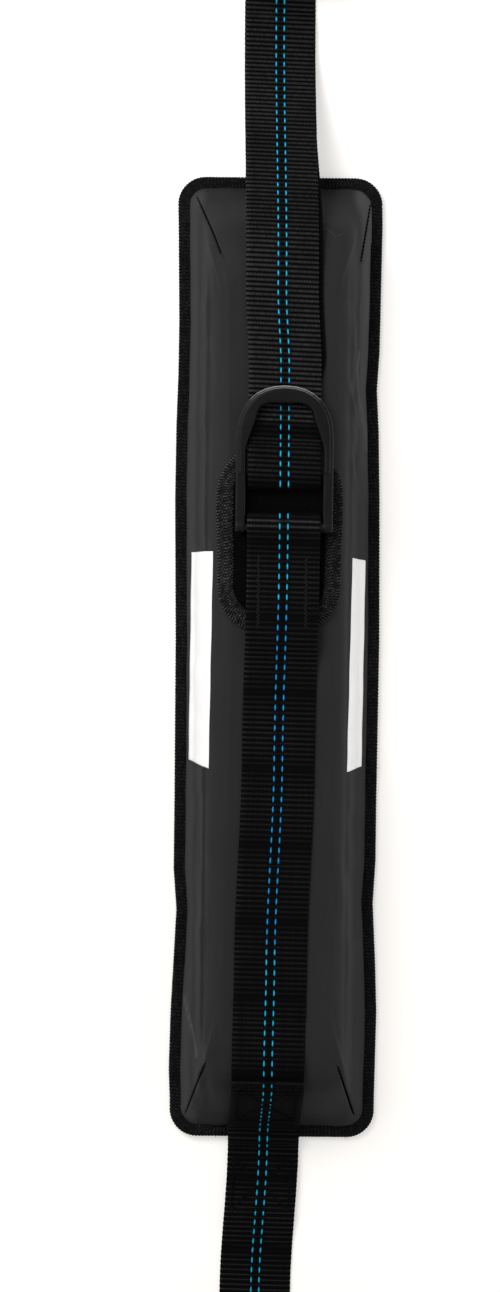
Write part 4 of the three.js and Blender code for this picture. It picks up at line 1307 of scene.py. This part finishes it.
round_bar = np.vstack([over_bar[1:], bar_turn[1:], back_under[1:]])
long_line = np.vstack([to_arch, round_bar, slack[1:]])
print("Long strap:", round(lengths_along(long_line, closed=False)[-1]), "mm")

# %% [markdown]
# ## Webbing: the mesh
#
# The section of a strap is a flat oval. It is carried along the line, and its faces rise and fall once for
# each rib. The selvedges swell a little at every rib too, which gives the edge its fine teeth. Inside the
# rolls no rib can be seen, so the rows there are further apart.

# %% Strap as a line with places on it
class Strap:
    """A strap's centre line, ready to be asked for points on its face."""

    def __init__(self, line, sideways):
        self.line = even_line(np.column_stack([line, sideways]))
        self.normal = -line_normals(self.line)
        self.along = lengths_along(self.line[:, :2], closed=False)
        self.length = self.along[-1]

    def place(self, s, across, lift):
        """Points at s along the strap: across its width, and lift above its middle on the face side."""
        y, z, x, ny, nz = (np.interp(s, self.along, column) for column in
                           (*self.line.T, *self.normal.T))
        return np.stack(np.broadcast_arrays(x + across, y + ny * lift, z + nz * lift), axis=-1)

    def where(self, y, after=0.0):
        """Length along the strap at which its line first passes y, beyond the length after."""
        passed = np.sign(self.line[:-1, 0] - y) != np.sign(self.line[1:, 0] - y)
        found = self.along[:-1][passed & (self.along[:-1] > after)]
        return float(found[0])


short_strap = Strap(short_line, stray(short_line[:, 0]))
lower_strap = Strap(lower_line, stray(lower_line[:, 0]))
on_turn = between(long_line[:, 0], 137, 139)
in_tail = np.arange(len(long_line)) > len(to_arch) + len(round_bar) - 1
long_stray = stray(long_line[:, 0]) + np.where(in_tail, stray(long_line[:, 0], tail_knots), 0)
long_strap = Strap(long_line, long_stray * on_turn + 3.0 * (1 - on_turn))
print("Lengths in mm:", [round(s.length) for s in (short_strap, lower_strap, long_strap)])

# %% Webbing mesh
def webbing_section():
    """Across and up for each point of the section, and how much of the rib each one takes."""
    across_top = np.array([-1, -0.86, -0.7, -0.5, -0.25, 0, 0.25, 0.5, 0.7, 0.86, 1]) * 18.35
    top = [(a, 0.75, 1.0 if abs(a) < 18 else 0.7) for a in across_top]
    edge = [(18.85, 0.45, 0.4), (19.0, 0.0, 0.5), (18.85, -0.45, 0.4)]
    under = [(-a, -0.75, -0.35) for a in across_top]
    other = [(-a, -h, k) for a, h, k in edge]
    return np.array(top + edge + under + other)


def webbing(name, strap, pitch, ribbed, material, slant, painted_light_along, grooves_lit=False):
    """A strap's mesh. ribbed gives the stretches where ribs show, as lengths along the strap. The argument
    after the slant lists lengths along it and how much painted light the ribs get there: painted shade where
    the strap lies in shade, painted highlight where it catches the light. grooves_lit paints the gaps between
    the ribs light and their crowns dark instead, as thin painted highlights."""
    section = webbing_section()
    s = [0.0]
    while s[-1] < strap.length:
        fine = any(a <= s[-1] <= b for a, b in ribbed)
        s.append(s[-1] + (pitch / 6 if fine else 1.6))
    s = np.array(s[:-1])
    phase = s / pitch % 1
    rib = 1 - np.abs(2 * phase - 1) ** 3
    shown = sum(between(s, a, a + 3) * (1 - between(s, b - 3, b)) for a, b in ribbed)
    rib *= np.minimum(shown, 1)
    uneven = 1 + 0.12 * np.sin(s * 0.37) + 0.1 * np.sin(s * 0.113 + 1)
    rise = section[None, :, 2] * rib[:, None] * rib_height
    height = section[None, :, 1] + rise * (section[None, :, 1] != 0)
    grow = np.sign(section[:, 0]) * (np.abs(section[:, 0]) > 18.5)
    wide = section[None, :, 0] + grow[None, :] * 0.22 * (rib * uneven)[:, None]
    slanted = np.clip(s[:, None] + slant * wide, 0, strap.length)
    rows = strap.place(slanted, wide, height)
    points_out, faces_out = swept(rows)
    run = np.stack(np.broadcast_arrays(section[None, :, 0], s[:, None], 0.0), axis=-1)
    # Painted light and shade: the crowns, or with grooves_lit the gaps, are lighter, scaled along the strap;
    # the middle between the tracers is darker and the left selvedge lighter.
    light = (1 - rib) ** 1.6 if grooves_lit else rib ** 6
    light = light * np.interp(s, *np.array(painted_light_along, float).T)
    lane = 0.3 + 0.7 * between(np.abs(section[:, 0]), 2.4, 4.4)
    lane = np.where(section[:, 0] < -17.8, 1.7, lane)
    painted_light = light[:, None] * lane[None, :]
    return make_object(name, points_out, faces_out, material, run.reshape(-1, 3), painted_light=painted_light)


print("Section points:", len(webbing_section()))

# %% Tracer yarns
def add_tracers(obj, strap, pitch, stretches, material, slant):
    """Two rows of short floats of coloured yarn on a strap. Each stretch is (from, to, face)."""
    around, ring_count = 6, 8
    t = np.linspace(-1, 1, ring_count)
    girth = np.sqrt(np.maximum(1 - np.abs(t) ** 3, 0.02))
    angles = np.arange(around) * 2 * math.pi / around
    half_run, half_wide, high = 0.66 * pitch, 0.38, 0.24
    floats = []
    for start, end, face in stretches:
        for k in range(math.ceil(start / (2 * pitch)), int(end / (2 * pitch))):
            for line_across in (-2.15, 2.15):
                s = (2 * k + 1) * pitch + slant * line_across + t[:, None] * half_run
                a = line_across + half_wide * girth[:, None] * np.cos(angles)[None, :]
                lift = face * (0.93 + high * girth[:, None] * (1 + np.sin(angles)[None, :]) * 0.8)
                run = np.stack(np.broadcast_arrays(a, s, 0.0), axis=-1)
                floats.append((*swept(strap.place(s, a, lift)), run.reshape(-1, 3).tolist()))
    yarn_points, yarn_faces, yarn_run = join_meshes(floats)
    # Painted shade: each float is darker towards its ends, where it dives between the ribs.
    float_painted_shade = np.tile(np.repeat(1 - np.abs(t) ** 2.2, around), len(floats))
    yarns = make_object(obj.name + "_yarns", yarn_points, yarn_faces, material, yarn_run, painted_light=float_painted_shade)
    joined = bmesh.new()
    joined.from_mesh(obj.data)
    before = len(joined.faces)
    joined.from_mesh(yarns.data)
    joined.faces.ensure_lookup_table()
    obj.data.materials.append(material)
    for face in joined.faces[before:]:
        face.material_index = len(obj.data.materials) - 1
    joined.to_mesh(obj.data)
    joined.free()
    bpy.data.objects.remove(yarns)
    return len(yarn_points)


print("Tracer helper ready")

# %% Short strap and its tracers
tight_pitch, loose_pitch = 2.68, 2.55
loop_top, fold_gap = (short_strap.where(y, after=62) for y in (66, -218))
# Painted light along the short strap: highlights at the loop's top, dim over the pad, and painted shade in the
# gap at the fold.
short_painted_light = [(loop_top - 10, 0), (loop_top - 7.6, 0.1), (loop_top - 6.3, 1.0), (loop_top - 2.2, 0.9),
             (loop_top - 0.4, 0.35),
             (loop_top + 200, 0.27), (fold_gap - 1.5, 0.25), (fold_gap, 0), (fold_gap + 8, 0)]
short_web = webbing("short_strap_web", short_strap, tight_pitch, [(40, short_strap.length - 40)],
                    tight_webbing, 0.02, short_painted_light, grooves_lit=True)
float_step = 2 * tight_pitch
near_loop = 21 * float_step
near_end = float_step * round(short_strap.where(-150, after=62) / float_step)
bright_stretches = [(60, near_loop + 0.05, 1), (near_end - 0.05, short_strap.length - 88, 1)]
deep_stretches = [(near_loop - 0.05, near_end + 0.05, 1)]
count = add_tracers(short_web, short_strap, tight_pitch, bright_stretches, tracer_yarn, 0.02)
count += add_tracers(short_web, short_strap, tight_pitch, deep_stretches, deep_tracer, 0.02)
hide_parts("buckle_strap")
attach(short_web, "pad")
print("Short strap:", len(short_web.data.polygons), "faces,", count, "yarn points")

# %% Lower strap and its tracers
outer_turn = 2 * math.pi * (roll_radius - floor_run)
rolled_at = lower_strap.length - roll_length
# Painted light along the lower strap: a highlight at its folded end, then dimmer.
lower_painted_light = [(0, 0.7), (0.8, 0.5), (1.6, 0.14), (30, 0.14), (90, 0.24)]
lower_web = webbing("lower_strap_web", lower_strap, tight_pitch, [(0, rolled_at + outer_turn)], tight_webbing,
                    0.02, lower_painted_light, grooves_lit=True)
lower_stretches = [(0, rolled_at + 4, 1), (rolled_at + 4, rolled_at + outer_turn - 3, -1)]
count = add_tracers(lower_web, lower_strap, tight_pitch, lower_stretches, tracer_yarn, 0.02)
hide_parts("lower_strap")
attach(lower_web, "pad")
print("Lower strap:", len(lower_web.data.polygons), "faces,", count, "yarn points")

# %% [markdown]
# The long strap is one length on the real rack: its roll, the leg to the buckle, the turn over the centre bar
# and the tail that comes back underneath. The CAD had to part it into three nodes, and this one piece stands
# for them all. It crosses the hinge, so it blends from the pad to the buckle.

# %% Long strap and its tracers
rolled_to = roll_length
window_top, dip_start, dip_end, turn_at = (long_strap.where(y, after=rolled_to)
                                           for y in (131, 123.5, 114.5, 92))
crest_at = long_strap.where(250, after=rolled_to)
# Painted light along the long strap: lighter on the pad's top, painted shade where it dips in the buckle's
# window and round the turn.
long_painted_light = [(crest_at - 12, 0.7), (crest_at + 20, 0.7), (crest_at + 55, 1), (window_top - 2, 1),
              (window_top, 0.95), (dip_start, 0.8), (dip_start + 2, 0.15), (dip_end - 2, 0.15),
              (dip_end, 0.42), (turn_at - 5, 0.36), (turn_at + 2, 0.06)]
long_web = webbing("long_strap_web", long_strap, loose_pitch,
                   [(rolled_to - outer_turn, long_strap.length - 6)], webbing_yarn, 0.04, long_painted_light)
long_stretches = [(rolled_to - 2, turn_at + 4, 1), (rolled_to - outer_turn + 3, rolled_to - 4, -1)]
count = add_tracers(long_web, long_strap, loose_pitch, long_stretches, tracer_yarn, 0.04)
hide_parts("long_strap", "strap_turn", "long_strap_tail")
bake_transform(long_web)
print("Long strap:", len(long_web.data.polygons), "faces,", count, "yarn points")

# %% [markdown]
# ## Stitches on the straps
#
# Two zigzag rows close the loop round the buckle's bottom bar. Two boxes with crosses hold the lower strap.

# %% Zigzag rows
def zigzag(name, centre_x, node):
    height = sewn_run + web_thick / 2 + rib_height + 0.15
    corners = [(centre_x + (0.95 if k % 2 else -0.95), y, height)
               for k, y in enumerate(np.arange(15.0, 53.5, 1.0))]
    outs = [(0, 0, 1)] * 2
    rows = [stitch_row(corners[i:i + 2], outs, 2.0, 0.3, gap=0.1) for i in range(len(corners) - 1)]
    mesh_points, mesh_faces, mesh_run = join_meshes(rows)
    piece = make_object(name, mesh_points, mesh_faces, sewing_thread, mesh_run)
    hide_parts(node)
    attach(piece, "pad")
    return len(rows)


left_count = zigzag("zigzag_left", float(stray(15)) - 12.5, "bartack_left")
right_count = zigzag("zigzag_right", float(stray(15)) + 12.5, "bartack_right")
print("Zigzag stitches:", left_count, "and", right_count)

# %% Crossed boxes
def crossed_box(name, top, run, node):
    half = web_half - 3.0
    corners = [(-half, top), (half, top), (half, top - run), (-half, top - run)]
    rows = []
    for a, b in ((0, 1), (1, 2), (2, 3), (3, 0), (0, 2), (1, 3)):
        path, outs = [], []
        for t in np.linspace(0, 1, 13):
            x = corners[a][0] + (corners[b][0] - corners[a][0]) * t
            y = corners[a][1] + (corners[b][1] - corners[a][1]) * t
            s = lower_strap.where(y)
            base = lower_strap.place(s, x, 1.12)
            above = lower_strap.place(s, x, 2.12)
            path.append(base)
            outs.append(above - base)
        rows.append(stitch_row(path, outs, 2.4, 0.42, gap=0.2))
        beside = np.cross(np.array(path[-1]) - np.array(path[0]), (0, 0, 1.0))
        beside = 0.85 * beside / np.linalg.norm(beside)
        rows.append(stitch_row(np.array(path) + beside, outs, 2.9, 0.36, gap=0.25))
    mesh_points, mesh_faces, mesh_run = join_meshes(rows)
    piece = make_object(name, mesh_points, mesh_faces, dark_thread, mesh_run)
    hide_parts(node)
    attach(piece, "pad")
    return len(mesh_faces)


print("Box faces:", crossed_box("crossed_box_pad", -226, 22, "box_stitch_pad"),
      crossed_box("crossed_box_strap", -271, 29, "box_stitch_strap"))

# %% [markdown]
# ## Cast buckle
#
# The buckle's shape comes from the CAD, with crisp bevels. Casting rounds every inside corner, so a copy of
# the CAD mesh gets a voxel remesh, which turns it into one even skin, and a light smoothing that fills the
# corners as molten metal does.

# %% Buckle from its CAD solid
def solid_copy(name, node):
    """A piece of its own with the shape and place of a CAD solid."""
    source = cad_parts[node]
    mesh = source.data.copy()
    mesh.transform(source.matrix_world)
    mesh.materials.clear()
    obj = bpy.data.objects.new(name, mesh)
    scene.collection.objects.link(obj)
    return obj


buckle = solid_copy("buckle_cast", "buckle")
weld = buckle.modifiers.new("weld", "WELD")
weld.merge_threshold = 1e-6
skin = buckle.modifiers.new("skin", "REMESH")
skin.mode, skin.voxel_size = "VOXEL", 0.00038
cast = buckle.modifiers.new("cast", "SMOOTH")
cast.factor, cast.iterations = 0.5, 4
apply_modifiers(buckle)
buckle.data.polygons.foreach_set("use_smooth", [True] * len(buckle.data.polygons))
buckle.data.materials.append(buckle_coating)
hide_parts("buckle")
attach(buckle, "buckle")
print("Buckle:", len(buckle.data.polygons), "faces")

# %% [markdown]
# ## Foam core
#
# The foam can't be seen, but a section through the pad should find it, with its own finish. It is a little
# smaller than its solid, so that the valleys of the cover stay clear of it.

# %% Foam a little smaller than its solid
foam = solid_copy("foam_block", "foam_core")
foam.data.materials.append(foam_cells)
base_height = 0.003
for vertex in foam.data.vertices:
    vertex.co.x *= 0.94
    vertex.co.z = base_height + (vertex.co.z - base_height) * 0.95
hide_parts("foam_core")
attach(foam, "pad")
print("Foam:", foam.name)

# %% [markdown]
# ## Loose fibres
#
# Cut webbing and edge tape always shed a few fibres. Ten thin bent hairs at the tape's rim are enough.

# %% Fibres at the tape's rim
def fibre(start, direction, length, radius=0.09):
    line = []
    side = noise.uniform(-0.6, 0.6)
    for i in range(7):
        t = i / 6
        turn = direction + side * t
        line.append((start[0] + math.cos(turn) * length * t, start[1] + math.sin(turn) * length * t,
                     start[2] + 0.5 * math.sin(3 * t)))
    line = np.array(line)
    ahead = np.gradient(line, axis=0)
    ahead /= np.linalg.norm(ahead, axis=1, keepdims=True)
    up = np.array([0, 0, 1.0])
    rows = []
    for i, (centre, forward) in enumerate(zip(line, ahead)):
        beside = np.cross(forward, up)
        girth = radius * (1 - 0.6 * i / 6)
        rows.append([centre + girth * (math.cos(a) * beside + math.sin(a) * up)
                     for a in np.arange(5) * 2 * math.pi / 5])
    return swept(np.array(rows))


fibre_roots = [(17.5, 259.7, 90), (19.2, 259.7, 75), (18.3, 259.8, 110), (-54.0, -253.0, 215),
               (39.9, -259.6, 280), (41.0, -259.5, 250), (-12.0, 259.7, 100), (-30.0, -259.6, 262),
               (55.2, -60.0, 5), (-55.0, 120.0, 178)]
hairs = [fibre((x0, y0, 2.6), math.radians(angle), float(noise.uniform(1.4, 2.6)))
         for x0, y0, angle in fibre_roots]
hair_points, hair_faces, _ = join_meshes(hairs)
fibres = make_object("loose_fibres", hair_points, hair_faces, sewing_thread, [(0, 0, 0)] * len(hair_points))
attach(fibres, "pad")
print("Fibres:", len(fibre_roots))

# %% [markdown]
# ## Floor and light
#
# The floor is pale and plain. Light Path tells when a ray comes straight from the camera or off a glossy
# surface, and only those rays see a little extra white, so the page looks white and the object's light stays
# as it is. The shadow remains, because the floor is still lit like any surface. The lamps are hidden from the
# camera's own rays, so that no view shows their squares, and they light the rack all the same.

# %% Floor
def seen_plainly(tree):
    """1 for rays from the camera, off a glossy surface or through glass, and 0 for all others."""
    path = tree.nodes.new("ShaderNodeLightPath").outputs
    indirect = maths(tree, "MAXIMUM", path["Is Glossy Ray"], path["Is Transmission Ray"])
    return maths(tree, "MAXIMUM", path["Is Camera Ray"], indirect)
bpy.ops.mesh.primitive_plane_add(size=8, location=(0, 0, -0.0002))
floor = bpy.context.object
floor.name = "studio_floor"
floor_white, tree, shader = new_material("floor_white", 0.9, 0.1)
shader.inputs["Base Color"].default_value = (0.80, 0.765, 0.72, 1)
shader.inputs["Emission Color"].default_value = (1, 1, 1, 1)
extra_white = 0.42
feed(tree, shader.inputs["Emission Strength"], maths(tree, "MULTIPLY", seen_plainly(tree), extra_white))
floor.data.materials.append(floor_white)
print("Floor:", floor.name)

# %% World
world = bpy.data.worlds.new("studio")
scene.world = world
world.use_nodes = True
tree = world.node_tree
background = tree.nodes["Background"]
ambient = 0.5
background.inputs["Color"].default_value = (1, 1, 1, 1)
strength = maths(tree, "MULTIPLY_ADD", seen_plainly(tree), 1 - ambient, ambient)
feed(tree, background.inputs["Strength"], strength)
print("World light:", ambient)

# %% Lamps
def area_lamp(name, location, aim, width, height, power):
    data = bpy.data.lights.new(name, "AREA")
    data.shape = "RECTANGLE"
    data.size, data.size_y, data.energy = width, height, power
    lamp = bpy.data.objects.new(name, data)
    lamp.location = location
    lamp.rotation_euler = (Vector(aim) - Vector(location)).to_track_quat("-Z", "Y").to_euler()
    lamp.visible_camera = False
    scene.collection.objects.link(lamp)


area_lamp("key", (-0.58, 0.6, 1.0), aim=(0, 0.14, 0), width=0.7, height=0.7, power=10.5)
area_lamp("left_side", (-1.1, 0.2, 0.2), aim=(0, 0.1, 0.02), width=1.2, height=0.3, power=1.2)
area_lamp("right_side", (1.1, 0.2, 0.2), aim=(0, 0.1, 0.02), width=1.2, height=0.3, power=4)
print("Lamps: key and two sides")
